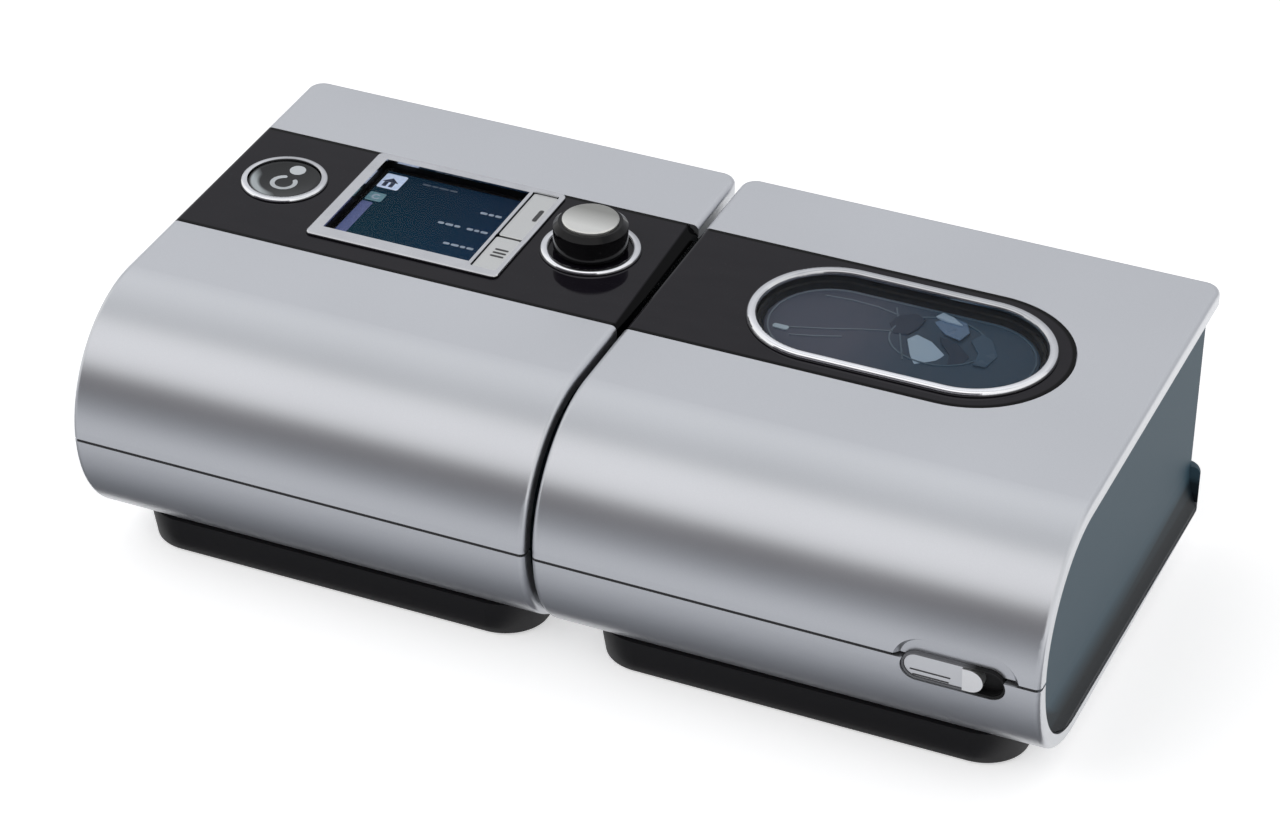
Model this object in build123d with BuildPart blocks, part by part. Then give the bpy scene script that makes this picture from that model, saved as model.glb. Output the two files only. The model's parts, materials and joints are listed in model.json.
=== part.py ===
from build123d import *
import os
from math import acos, asin, atan, atan2, cos, degrees, hypot, radians, sin, tan

os.makedirs("parts", exist_ok=True)

# A bedside CPAP machine: a flow generator with a heated humidifier docked to its right.
# Millimetres. +X runs along the front from the flow generator to the humidifier, +Y runs to
# the back and +Z up. The origin is the middle of the footprint, on the surface under the feet.

# ---------------------------------------------------------------- driving sizes: both casings
flow_width = 141.0
humidifier_width = 147.0
unit_gap = 2.0
depth = 153.0
height = 86.0
top_slope = 2.03            # degrees that the top falls towards the front
front_radius = 36.3         # upper half of the rolled front
base_height = 10.0          # underside of the silver shells above the table, at the back
base_drop = 3.0             # how much lower it is under the rolled front
wall = 2.5                  # silver shells
rim_width = 3.0             # thicker edge along the open sides of the shells
rim_depth = 4.5
rim_foot = 1.3              # what is left of the rim's depth along the foot
edge_radius = 1.8           # rounding of the shells' outer edges
back_corner_radius = 5.0
seam_height = 42.7          # line between the upper and the lower shells
seam_gap = 0.9
shell_gap = 0.3             # between a shell and the chassis inside it
upper_back_edge = 81.2      # lowest point of an upper shell at the back
lower_back_edge = 14.0      # highest point of a lower shell at the back
lip_top = 26.0              # top of the side panels' flare and of the lip behind them
lip_edge = 2.0
flare_foot = 13.0
chassis_wall = 2.2
back_recess = 3.7           # the chassis's back wall in front of the shells' back edges
chassis_front_top = 33.0
running_gap = 0.05          # radial clearance of a shaft in its bore
sliding_gap = 0.3           # clearance of a part that slides or swings past another

# black band across both tops
band_front = -14.4
band_back = 44.2
band_thickness = 2.0
band_gap = 0.25
ledge_thickness = 1.6       # step of the shell that carries the band
ledge_overlap = 4.0

# plinths and feet
plinth_left_inset = 10.6     # flow generator's, on its free side
plinth_dock_inset = 6.5      # flow generator's, beside the gap
plinth_side_inset = 11.0     # humidifier's, on both sides
plinth_top = 12.0            # before the shells' underside cuts it
plinth_front_inset = 17.9
plinth_back_inset = 12.0
plinth_corner = 13.0
plinth_draft = 10.0
foot_height = 1.0
foot_recess = 1.4
foot_radius = 7.0
foot_inset = 13.0

# ---------------------------------------------------------------- derived: both casings
flow_left = -(flow_width + unit_gap + humidifier_width) / 2
flow_right = flow_left + flow_width
humidifier_left = flow_right + unit_gap
humidifier_right = humidifier_left + humidifier_width
front_y = -depth / 2
back_y = depth / 2
slope = radians(top_slope)
upper_arc_y = front_y + front_radius
arc_z = height - (back_y - upper_arc_y) * tan(slope) - front_radius / cos(slope)
lower_radius = arc_z - base_height
top_plane = Plane(
    origin=(0, 0, height - back_y * tan(slope)),
    x_dir=(1, 0, 0),
    z_dir=(0, -sin(slope), cos(slope)),
)
side_recess = rim_width + shell_gap
chassis_inset = wall + shell_gap
floor_bottom = base_height + chassis_inset
floor_top = floor_bottom + chassis_wall
chassis_back = back_y - back_recess
top_axis = Axis((0, 0, 0), top_plane.z_dir)
chassis_back_inside = chassis_back - chassis_wall
flow_inside = (flow_left + side_recess + chassis_wall, flow_right - side_recess - chassis_wall)
humidifier_inside = (
    humidifier_left + side_recess + chassis_wall,
    humidifier_right - side_recess - chassis_wall,
)
ledge_bottom = band_thickness + ledge_thickness
cut = 1.0                   # how far a cutting shape runs past the face that it opens


# ---------------------------------------------------------------- helpers
def side_outline(plane, inset=0.0, back_inset=None, drop=0.0):
    """A unit seen from its side: sloped top, rolled front and an underside that may fall to it."""
    back = back_y - (inset if back_inset is None else back_inset)
    upper = front_radius - inset
    across = lower_radius - inset
    down = across + drop
    back_foot = (back, base_height + inset)
    # the underside touches the foot's ellipse: seen as a circle, it leaves at an acos
    reach = back - front_y - lower_radius
    fall = (back_foot[1] - arc_z) * across / down
    touch = degrees(atan2(fall, reach) - acos(across / hypot(reach, fall)))
    top_back = (back, height - (back_y - back) * tan(slope) - inset / cos(slope))
    with BuildSketch(plane) as outline:
        with BuildLine():
            rolled_top = CenterArc((upper_arc_y, arc_z), upper, 90 + top_slope, 90 - top_slope)
            rolled_foot = EllipticalCenterArc(
                (front_y + lower_radius, arc_z), across, down, start_angle=180, arc_size=180 + touch
            )
            Line(rolled_foot @ 1, back_foot)
            Line(back_foot, top_back)
            Line(top_back, rolled_top @ 0)
        make_face()
    return outline.sketch


def rim_outline(plane, grow=0.0):
    """The side opening inside a shell's rim, which thins out along the unit's foot."""
    back = back_y - rim_depth - grow
    inset = rim_depth + grow
    foot = base_height + rim_foot + grow
    top_back = (back, height - (back_y - back) * tan(slope) - inset / cos(slope))
    with BuildSketch(plane) as outline:
        with BuildLine():
            rolled_top = CenterArc(
                (upper_arc_y, arc_z), front_radius - inset, 90 + top_slope, 90 - top_slope
            )
            rolled_foot = EllipticalCenterArc(
                (front_y + lower_radius, arc_z),
                lower_radius - inset,
                arc_z - foot,
                start_angle=180,
                arc_size=90,
            )
            Line(rolled_foot @ 1, (back, foot))
            Line((back, foot), top_back)
            Line(top_back, rolled_top @ 0)
        make_face()
    return outline.sketch


def side_region(plane, *points):
    """A straight-sided region in the side view, used to keep or cut a part of a casing."""
    with BuildSketch(plane) as region:
        with BuildLine():
            Polyline(*points, close=True)
        make_face()
    return region.sketch


def add_box(x, y, z, mode=Mode.ADD):
    """A box over three ranges, in the part being built."""
    with Locations(((x[0] + x[1]) / 2, (y[0] + y[1]) / 2, (z[0] + z[1]) / 2)):
        Box(x[1] - x[0], y[1] - y[0], z[1] - z[0], mode=mode)


def add_rod_x(x, centre, radius, mode=Mode.ADD):
    """A cylinder along X, over a range of x, about (y, z)."""
    with BuildSketch(Plane.YZ.offset(x[0])) as section:
        with Locations(centre):
            Circle(radius)
    extrude(section.sketch, amount=x[1] - x[0], mode=mode)


def add_rod_y(y, centre, radius, mode=Mode.ADD):
    """A cylinder along Y, over a range of y, about (x, z)."""
    with BuildSketch(Plane.XZ.offset(-y[1])) as section:
        with Locations(centre):
            Circle(radius)
    extrude(section.sketch, amount=y[1] - y[0], mode=mode)


def add_rod_z(z, centre, radius, mode=Mode.ADD):
    """A cylinder along Z, over a range of z, about (x, y)."""
    with BuildSketch(Plane.XY.offset(z[0])) as section:
        with Locations(centre):
            Circle(radius)
    extrude(section.sketch, amount=z[1] - z[0], mode=mode)


def add_top_rod(h, centre, radius, mode=Mode.ADD):
    """A cylinder square to the sloped top, over a range of heights above it."""
    with BuildSketch(top_plane.offset(h[0])) as section:
        with Locations(centre):
            Circle(radius)
    extrude(section.sketch, amount=h[1] - h[0], mode=mode)


def add_top_block(h, x, y, corner=0.0, mode=Mode.ADD):
    """A block square to the sloped top, over ranges of height, x and y."""
    with BuildSketch(top_plane.offset(h[0])) as section:
        with Locations(((x[0] + x[1]) / 2, (y[0] + y[1]) / 2)):
            if corner > 0:
                RectangleRounded(x[1] - x[0], y[1] - y[0], corner)
            else:
                Rectangle(x[1] - x[0], y[1] - y[0])
    extrude(section.sketch, amount=h[1] - h[0], mode=mode)


def add_top_slot(h, radius, mode=Mode.ADD):
    """A round-ended block square to the sloped top, about the viewing window."""
    with BuildSketch(top_plane.offset(h[0])) as section:
        SlotCenterPoint((window_x, window_y), (window_right_x, window_y), 2 * radius)
    extrude(section.sketch, amount=h[1] - h[0], mode=mode)


def cut_ledge_notch(left, right):
    """Room in a chassis's side walls for the ledge that carries the black band."""
    add_top_block(
        (-ledge_bottom - shell_gap, cut),
        (left, right),
        (band_front - ledge_overlap - shell_gap, band_back + ledge_overlap + shell_gap),
        mode=Mode.SUBTRACT,
    )


def side_block(left, right, inset, back_inset=None):
    """A solid with the side outline, shrunk evenly, between two values of x."""
    with BuildPart() as block:
        extrude(side_outline(Plane.YZ.offset(left), inset, back_inset), amount=right - left)
    return block.part


def rounded_casing(left, right):
    """The whole outside of a unit, with its back corners and outer edges rounded."""
    with BuildPart() as casing:
        extrude(side_outline(Plane.YZ.offset(left), drop=base_drop), amount=right - left)
        fillet(casing.edges().filter_by(Axis.Z).group_by(Axis.Y)[-1], back_corner_radius)
        level_back_edges = casing.edges().filter_by(Axis.X).group_by(Axis.Y)[-1]
        side_edges = casing.edges().filter_by(Axis.Z, reverse=True).filter_by(Axis.X, reverse=True)
        fillet(side_edges + level_back_edges, edge_radius)
    return casing.part


def casing_shell(casing, left, right):
    """The thin wall of a casing, thicker along its two open sides."""
    between_rims = right - left - 2 * rim_width
    with BuildPart() as shell:
        add(casing)
        extrude(
            side_outline(Plane.YZ.offset(left + rim_width), wall, drop=base_drop),
            amount=between_rims,
            mode=Mode.SUBTRACT,
        )
        extrude(
            rim_outline(Plane.YZ.offset(left - cut)),
            amount=right - left + 2 * cut,
            mode=Mode.SUBTRACT,
        )
    return shell.part


def side_flare(side_x, outward):
    """The concave foot along a side panel, out to the face of the shell's rim."""
    foot_x = side_x - outward * shell_gap
    panel_x = side_x - outward * side_recess
    hidden_x = panel_x - outward * chassis_wall / 2
    foot_z = base_height + rim_foot + shell_gap
    with BuildPart() as flare:
        with BuildSketch(Plane.XZ.offset(-chassis_back)) as section:
            with BuildLine():
                TangentArc((panel_x, lip_top), (foot_x, flare_foot), tangent=(0, -1))
                Polyline(
                    (foot_x, flare_foot),
                    (foot_x, foot_z),
                    (hidden_x, foot_z),
                    (hidden_x, lip_top),
                    (panel_x, lip_top),
                )
            make_face()
        extrude(section.sketch, amount=depth)
        extrude(
            rim_outline(Plane.YZ.offset(min(foot_x, hidden_x)), shell_gap),
            amount=side_recess + chassis_wall,
            mode=Mode.INTERSECT,
        )
    return flare.part


def back_lip(casing, left, right):
    """The rounded lip across the foot of a chassis's back."""
    with BuildPart() as lip:
        add(casing)
        add_box(
            (left, right),
            (chassis_back - chassis_wall / 2, back_y),
            (lower_back_edge + shell_gap, lip_top),
            mode=Mode.INTERSECT,
        )
        top_edges = lip.faces().sort_by(Axis.Z)[-1].edges()
        fillet(top_edges.filter_by_position(Axis.Y, chassis_back, back_y + cut), lip_edge)
    return lip.part


def keep_upper(left, right):
    """Everything of a casing that belongs to its upper shell."""
    lip_front = back_y - 2 * back_corner_radius
    seam = seam_height + seam_gap / 2
    with BuildPart() as region:
        outline = side_region(
            Plane.YZ.offset(left - cut),
            (front_y - cut, seam),
            (lip_front, seam),
            (lip_front, upper_back_edge),
            (back_y + cut, upper_back_edge),
            (back_y + cut, height + cut),
            (front_y - cut, height + cut),
        )
        extrude(outline, amount=right - left + 2 * cut)
    return region.part


def keep_lower(left, right):
    """Everything of a casing that belongs to its lower shell."""
    seam = seam_height - seam_gap / 2
    with BuildPart() as region:
        outline = side_region(
            Plane.YZ.offset(left - cut),
            (front_y - cut, base_height - base_drop - cut),
            (back_y + cut, base_height - base_drop - cut),
            (back_y + cut, lower_back_edge),
            (0, lower_back_edge),
            (0, seam),
            (front_y - cut, seam),
        )
        extrude(outline, amount=right - left + 2 * cut)
    return region.part


def plinth_range(left, right, left_inset, right_inset):
    """The x and y ranges of a plinth's underside."""
    x = (left + left_inset, right - right_inset)
    y = (front_y + plinth_front_inset, back_y - plinth_back_inset)
    return x, y


def foot_places(left, right, left_inset, right_inset):
    """The centres of a unit's four feet."""
    x, y = plinth_range(left, right, left_inset, right_inset)
    return [(fx, fy) for fx in (x[0] + foot_inset, x[1] - foot_inset)
            for fy in (y[0] + foot_inset, y[1] - foot_inset)]


def plinth(casing, left, right, left_inset, right_inset):
    """A black stand under a casing, with a draft, and recesses for its feet."""
    x, y = plinth_range(left, right, left_inset, right_inset)
    with BuildPart() as stand:
        with BuildSketch(Plane.XY.offset(foot_height)) as sole:
            with Locations(((x[0] + x[1]) / 2, (y[0] + y[1]) / 2)):
                RectangleRounded(x[1] - x[0], y[1] - y[0], plinth_corner)
        extrude(amount=plinth_top - foot_height, taper=-plinth_draft)
        add(casing, mode=Mode.SUBTRACT)
        for place in foot_places(left, right, left_inset, right_inset):
            add_rod_z((0, foot_height + foot_recess), place, foot_radius, Mode.SUBTRACT)
    return stand.part


flow_insets = (flow_left, flow_right, plinth_left_inset, plinth_dock_inset)
humidifier_insets = (humidifier_left, humidifier_right, plinth_side_inset, plinth_side_inset)

# ---------------------------------------------------------------- driving sizes: top of the flow generator
start_margin = 6.5          # from the casing's left to the start button's ring
start_y = 18.2
start_ring_radius = 13.0
start_ring_width = 2.0
start_ring_rise = 1.0
start_button_rise = 0.4
start_dish = 0.8            # hollow for the finger in the start button
start_dish_rim = 1.2
start_travel = 0.8
cap_gap = 0.2               # round a button or key in its opening
button_skirt = 2.6          # how deep the caps reach below the top
button_stem_radius = 2.0
press_gap = 0.1             # left between a stem and its switch at the end of the travel

bezel_start_gap = 6.1       # from the start button's ring to the display's bezel
bezel_dial_gap = 3.1        # from the bezel to the dial's ring
bezel_front = -6.3
bezel_length = 49.8
bezel_corner = 2.0
bezel_rise = 1.0
bezel_depth = 3.6
bezel_edge = 0.5
screen_left_frame = 3.8
screen_front_frame = 4.7
screen_length = 41.8
window_ledge = 1.2
screen_window_thickness = 0.9
screen_window_sink = 1.9    # underside of the clear window below the top
lcd_margin = 1.6
lcd_face = 4.0              # face of the display below the top
key_screen_gap = 1.0
key_right_frame = 1.5
key_front_frame = 3.0
key_width = 8.2
key_length = 44.6
key_split = 0.5
key_corner = 0.8
key_rise = 0.5
key_travel = 0.6
key_stem_radius = 1.4

dial_margin = 8.6           # from the dial's ring to the casing's right
dial_y = 19.9
dial_ring_radius = 14.8
dial_ring_width = 2.6
dial_ring_rise = 1.1
dial_radius = 10.9
dial_bottom = 1.5
dial_top = 9.6
dial_shoulder = 1.5
dial_skirt_wall = 1.4
dial_hub_radius = 3.8
dial_cap_radius = 8.3
dial_cap_rise = 0.9
dial_cap_seat = 0.5
dial_travel = 1.0
shaft_radius = 1.5
shaft_top = 6.6
shaft_bottom = 10.0
plunger_radius = 2.5
plunger_top = 1.0
bushing_radius = 3.4
bushing_top = 1.8
encoder_size = 13.0
encoder_face = 6.0

board_face = 12.0           # upper face of the control board below the top
board_thickness = 1.6
board_margin = 2.0
switch_height = 2.4
switch_size = 6.0
post_radius = 2.6
screw_radius = 1.0
screw_head_radius = 2.0
screw_head_height = 1.0
screw_bite = 6.0
bevel = 3.4                 # black bevel at the band's end beside the gap
bevel_depth = 5.0

plunger_floor = 0.6
dial_top_wall = 2.2
foot_gap = 0.2
window_fit = 0.1
key_split_y = 15.2
key_edge = 0.3

start_x = flow_left + start_margin + start_ring_radius
dial_x = flow_right - dial_margin - dial_ring_radius
bezel_left = start_x + start_ring_radius + bezel_start_gap
bezel_width = dial_x - dial_ring_radius - bezel_dial_gap - bezel_left
screen_left = bezel_left + screen_left_frame
screen_front = bezel_front + screen_front_frame
key_left = bezel_left + bezel_width - key_right_frame - key_width
key_front = bezel_front + key_front_frame
screen_width = key_left - key_screen_gap - screen_left

# ---------------------------------------------------------------- driving sizes: inside the flow generator
filter_margin = 15.0
filter_middle_z = 47.0
filter_size = 36.0
filter_middle_x = flow_left + filter_margin + filter_size / 2
filter_thickness = 4.6
filter_lip = 3.0
cover_margin = 2.0
cover_thickness = 1.8
cover_corner = 2.0
cover_hinge_radius = 1.5
cover_pin_radius = 0.7
cover_barrel = 20.0
cover_lug = 3.6
louvre_count = 5
louvre_height = 2.4
muffler_gap = 2.5
muffler_inlet_gap = 9.5
muffler_wall = 2.0
muffler_mouth = 12.0

blower_margin = 21.0
blower_y = -4.0
blower_radius = 36.0
blower_x = flow_left + blower_margin + blower_radius
blower_half_height = 14.0
blower_eye = 13.0
housing_wall = 2.5
blower_mount_spread = 21.0
blower_mount_radius = 4.5
blower_mount_height = 5.0
stub_radius = 12.0
stub_reach = 44.0
air_bore = 9.5
air_tube_radius = 11.0
air_z = 50.0
air_y = blower_y + blower_radius - stub_radius
cuff_overlap = 8.0
cuff_wall = 1.8
spigot_reach = 7.0
impeller_radius = 30.0
impeller_gap = 1.5
impeller_disc = 2.0
impeller_hub = 7.0
impeller_hub_height = 13.0
blade_count = 11
blade_height = 13.0
blade_thickness = 1.4
blade_sweep = 20.0
blade_tip_gap = 1.0
motor_radius = 19.0
motor_height = 16.0
motor_edge = 2.0
motor_shaft_radius = 2.0

power_board_gap = 4.0
power_mount_gap = 1.0
power_board_y = (-50.0, 44.0)
power_board_z = 19.0
transformer_y = -28.0
transformer_width = 24.0
transformer_height = 15.0
capacitor_places = (-2.0, 36.0)
capacitor_radius = 7.0
capacitor_height = 13.0
inlet_margin = 29.5
inlet_z = 42.0
inlet_width = 27.0
inlet_x = flow_right - inlet_margin - inlet_width / 2
inlet_height = 20.0
inlet_depth = 22.0
inlet_flange = 1.6
inlet_lip = 2.0
inlet_wall = 1.4
inlet_cavity = 16.0
contact_pitch = 7.0
contact_drop = 2.0
contact_width = 2.0
contact_height = 4.0
contact_reach = 10.0
clip_span = 37.0
clip_wire = 0.8
clip_lug = 2.6
clip_drop = 13.6
clip_stand = 1.3
clip_y = chassis_back + clip_stand
card_margin = 15.5
card_x = flow_right - card_margin
card_z = 44.0
card_thickness = 2.1
card_width = 24.0
card_length = 32.0
card_proud = 1.8
card_corner = 2.0
slot_wall = 1.6
plug_y = -30.0
plug_z = 45.0
plug_width = 16.0
plug_height = 8.0
plug_lip = 3.0
plug_flange = 4.0
plug_reach = 6.0
tongue_places = (-48.0, 58.0)
tongue_width = 10.0
tongue_height = 8.0
tongue_z = 24.0
tongue_reach = 8.0

# ---------------------------------------------------------------- driving sizes: humidifier
window_margin = 47.3
window_span = 20.5          # from the window's middle to the centre of a round end
window_y = (band_front + band_back) / 2
window_ring_radius = 24.6
window_x = humidifier_left + window_margin + window_ring_radius
window_right_x = window_x + window_span
window_ring_width = 3.2
window_ring_rise = 1.6
window_collar_step = 2.0    # the ring's collar in from its visible edge
lens_thickness = 1.8
lens_seat = 1.4             # underside of the lens below the top
lens_lip = 1.2

hinge_z = 78.4
hinge_stand = 0.4
hinge_y = chassis_back + hinge_stand
hinge_pin_radius = 1.2
barrel_radius = 2.6
barrel_length = 16.0
barrel_inset = 18.0
barrel_web = 1.6
ear_width = 4.0
deck_top = 75.2
deck_thickness = 2.0
bulkhead_front = 50.0
bulkhead_thickness = 2.2

liner_inset = 6.0
liner_y = (-36.0, 60.0)
liner_top = 6.0             # below the top surface
liner_bottom = 8.0
liner_frame = 2.0
seal_inset = 12.5
seal_y = (-30.0, 42.0)
seal_width = 3.0

tub_inset = 9.5
tub_left_gap = 6.5
tub_right_gap = 1.0
tub_back_gap = 3.5
tub_wall = 2.0
tub_bottom = 19.5
tub_top = 66.0
tub_corner = 8.0
cover_plate = 3.0
cover_ring_radius = 17.0
cover_ring_width = 2.0
cover_ring_rise = 4.0
rib_count = 7
rib_spread = 14.0           # degrees between the ribs of the cover's fan
rib_width = 1.2
rib_rise = 1.5
baffle_offset = 26.0
baffle_x = window_x - baffle_offset
baffle_back = 28.0
baffle_top = 60.0
heater_offset = 4.0
heater_x = window_x + heater_offset
heater_y = -2.0
heater_width = 80.0
heater_length = 76.0
heater_corner = 8.0
heater_thickness = 4.0
base_plate_step = 2.0       # base plate in from the heater's edge
base_plate_lip = 3.0
base_plate_lip_thickness = 1.2

outlet_margin = 21.0
outlet_radius = 11.0        # 22 mm hose fitting
outlet_bore = 9.0
outlet_collar_radius = 12.0  # where the fitting passes through the bulkhead
outlet_flange_radius = 14.0
outlet_flange = 2.0
niche_half = 20.0
niche_wall = 2.0
outlet_x = humidifier_right - outlet_margin - niche_half
socket_radius = 13.2
socket_flange_radius = 16.0
socket_flange = 2.0
socket_depth = 6.2          # depth of the sliding bore behind the wall's outside
dock_socket_depth = 6.0

latch_margin = 24.5
latch_x = humidifier_right - latch_margin
latch_z = 40.05
latch_length = 29.4
latch_radius = 4.55
latch_fit = 0.15
pocket_sink = 0.7
pocket_wall = 0.6
pocket_floor = 3.2
pocket_back = 4.8
pocket_flange = 6.2
slider_length = 22.4
slider_face = 1.0
slider_travel = 5.2
thumb_length = 5.8
thumb_face = 0.15
slider_foot = 6.0
slider_foot_half = 1.4
foot_place = -5.0           # middle of the slider's foot from the middle of the latch
foot_reach = 8.0
slider_lug_place = 11.5
slider_lug = 2.0
spring_radius = 1.25
spring_wire = 0.3
spring_pitch = 1.8
spring_depth = 6.6
scoop_length = 35.6
scoop_radius = 8.6
scoop_rise = 1.65
scoop_shift = 0.9
scoop_depth = 1.7
scoop_draft = 42.0
hook_place = -12.5
hook_width = 5.0
hook_height = 2.0
hook_reach = 6.2

# ---------------------------------------------------------------- flow generator: casing
flow_casing = rounded_casing(flow_left, flow_right)
flow_shell = casing_shell(flow_casing, flow_left, flow_right)
flow_middle_x = (flow_left + flow_right) / 2
board_x = (flow_inside[0] + board_margin, flow_inside[1] - board_margin)
board_y = (band_front + board_margin, band_back - board_margin)
post_places = [(x, y) for x in (board_x[0] + post_radius, board_x[1] - post_radius)
               for y in (board_y[0] + post_radius, board_y[1] - post_radius)]
screen_x = (screen_left, screen_left + screen_width)
screen_y = (screen_front, screen_front + screen_length)
bezel_x = (bezel_left, bezel_left + bezel_width)
bezel_y = (bezel_front, bezel_front + bezel_length)
bezel_step = 0.6            # the bezel's collar in from its visible edge
key_x = (key_left, key_left + key_width)
key_y = (key_front, key_front + key_length)
info_key_y = (key_split_y + key_split / 2, key_y[1])
setup_key_y = (key_y[0], key_split_y - key_split / 2)

with BuildPart() as flow_upper_shell:
    add(flow_shell)
    add(keep_upper(flow_left, flow_right), mode=Mode.INTERSECT)
    add_top_block(
        (-band_thickness, cut),
        (flow_left - cut, flow_right + cut),
        (band_front - band_gap, band_back + band_gap),
        mode=Mode.SUBTRACT,
    )
    add_top_block(
        (-ledge_bottom, -band_thickness),
        (flow_left + rim_width, flow_right - rim_width),
        (band_front - ledge_overlap, band_back + ledge_overlap),
    )
    add_top_block(
        (-bevel_depth, cut),
        (flow_right - 2 * bevel - band_gap, flow_right + cut),
        (band_front - band_gap, band_back + band_gap),
        mode=Mode.SUBTRACT,
    )
    for place in post_places:
        add_top_rod((-board_face, -band_thickness), place, post_radius)
    add_top_rod((-ledge_bottom - cut, 0), (start_x, start_y), start_ring_radius, Mode.SUBTRACT)
    add_top_rod((-ledge_bottom - cut, 0), (dial_x, dial_y), bushing_radius + cut, Mode.SUBTRACT)
    add_top_block((-ledge_bottom - cut, 0), bezel_x, bezel_y, mode=Mode.SUBTRACT)
    for place in post_places:
        add_top_rod(
            (-board_face - cut, screw_bite - board_face + cut),
            place,
            screw_radius + running_gap,
            Mode.SUBTRACT,
        )
flow_upper_shell.part.label = "flow_upper_shell"
export_step(flow_upper_shell.part, "parts/flow_upper_shell.step")

with BuildPart() as flow_lower_shell:
    add(flow_shell)
    add(keep_lower(flow_left, flow_right), mode=Mode.INTERSECT)
flow_lower_shell.part.label = "flow_lower_shell"
export_step(flow_lower_shell.part, "parts/flow_lower_shell.step")

with BuildPart() as fascia_panel:
    add(flow_casing)
    with BuildSketch(Plane.YZ.offset(flow_left - cut)) as band_section:
        with BuildLine():
            Polyline(
                (band_front, height - (back_y - band_front) * tan(slope) - bevel_depth),
                (band_back, height - (back_y - band_back) * tan(slope) - bevel_depth),
                (band_back, height + cut),
                (band_front, height + cut),
                close=True,
            )
        make_face()
    extrude(amount=flow_width + 2 * cut, mode=Mode.INTERSECT)
    add_top_block(
        (-2 * bevel_depth, -band_thickness),
        (flow_left - cut, flow_right - 2 * bevel),
        (band_front - cut, band_back + cut),
        mode=Mode.SUBTRACT,
    )
    with BuildSketch(Plane.XZ.offset(-band_back - cut)) as bevel_section:
        with BuildLine():
            Polyline(
                (flow_right - bevel, height + cut),
                (flow_right - bevel, top_plane.origin.Z + band_back * tan(slope)),
                (flow_right + cut, top_plane.origin.Z + band_back * tan(slope) - bevel - cut),
                (flow_right + cut, height + cut),
                close=True,
            )
        make_face()
    extrude(amount=band_back - band_front + 2 * cut, mode=Mode.SUBTRACT)
    add_top_rod(
        (-ledge_bottom, cut), (start_x, start_y), start_ring_radius - bezel_step + cap_gap,
        Mode.SUBTRACT,
    )
    add_top_rod((-ledge_bottom, cut), (dial_x, dial_y), bushing_radius + sliding_gap, Mode.SUBTRACT)
    add_top_block(
        (-ledge_bottom, cut),
        (bezel_x[0] + bezel_step - cap_gap, bezel_x[1] - bezel_step + cap_gap),
        (bezel_y[0] + bezel_step - cap_gap, bezel_y[1] - bezel_step + cap_gap),
        mode=Mode.SUBTRACT,
    )
fascia_panel.part.label = "fascia_panel"
export_step(fascia_panel.part, "parts/fascia_panel.step")

# ---------------------------------------------------------------- flow generator: controls
start_cap_radius = start_ring_radius - start_ring_width - cap_gap
start_stem_end = board_face - switch_height - start_travel - press_gap
dish_half = start_cap_radius - start_dish_rim
dish_radius = (dish_half ** 2 + start_dish ** 2) / (2 * start_dish)
dish_centre = start_button_rise - start_dish + dish_radius
key_stem_end = board_face - switch_height - key_travel - press_gap

with BuildPart() as start_button_ring:
    add_top_rod((0, start_ring_rise), (start_x, start_y), start_ring_radius)
    fillet(start_button_ring.edges().group_by(Axis.Z)[-1], start_ring_rise * 0.8)
    add_top_rod((-band_thickness, 0), (start_x, start_y), start_ring_radius - bezel_step)
    add_top_rod(
        (-band_thickness - cut, start_ring_rise + cut),
        (start_x, start_y),
        start_ring_radius - start_ring_width,
        Mode.SUBTRACT,
    )
start_button_ring.part.label = "start_button_ring"
export_step(start_button_ring.part, "parts/start_button_ring.step")

with BuildPart() as start_button:
    add_top_rod((-button_skirt, start_button_rise), (start_x, start_y), start_cap_radius)
    fillet(start_button.edges().group_by(Axis.Z)[-1], start_button_rise)
    add_top_rod((-start_stem_end, -button_skirt), (start_x, start_y), button_stem_radius)
    with Locations(top_plane.from_local_coords((start_x, start_y, dish_centre))):
        Sphere(dish_radius, mode=Mode.SUBTRACT)
start_button.part.label = "start_button"
export_step(start_button.part, "parts/start_button.step")

with BuildPart() as screen_bezel:
    add_top_block((0, bezel_rise), bezel_x, bezel_y, bezel_corner)
    fillet(screen_bezel.faces().sort_by(top_axis)[-1].edges(), bezel_edge)
    add_top_block(
        (-bezel_depth, 0),
        (bezel_x[0] + bezel_step, bezel_x[1] - bezel_step),
        (bezel_y[0] + bezel_step, bezel_y[1] - bezel_step),
    )
    add_top_block((-screen_window_sink, bezel_rise + cut), screen_x, screen_y, mode=Mode.SUBTRACT)
    add_top_block(
        (-bezel_depth - cut, 0),
        (screen_x[0] + window_ledge, screen_x[1] - window_ledge),
        (screen_y[0] + window_ledge, screen_y[1] - window_ledge),
        mode=Mode.SUBTRACT,
    )
    add_top_block((-bezel_depth - cut, bezel_rise + cut), key_x, key_y, key_corner, Mode.SUBTRACT)
screen_bezel.part.label = "screen_bezel"
export_step(screen_bezel.part, "parts/screen_bezel.step")

with BuildPart() as screen_window:
    add_top_block(
        (-screen_window_sink, screen_window_thickness - screen_window_sink),
        (screen_x[0] + window_fit, screen_x[1] - window_fit),
        (screen_y[0] + window_fit, screen_y[1] - window_fit),
    )
screen_window.part.label = "screen_window"
export_step(screen_window.part, "parts/screen_window.step")

with BuildPart() as lcd_module:
    add_top_block(
        (-board_face, -lcd_face),
        (screen_x[0] - lcd_margin, screen_x[1] + lcd_margin),
        (screen_y[0] - lcd_margin, screen_y[1] + lcd_margin),
    )
lcd_module.part.label = "lcd_module"
export_step(lcd_module.part, "parts/lcd_module.step")


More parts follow.
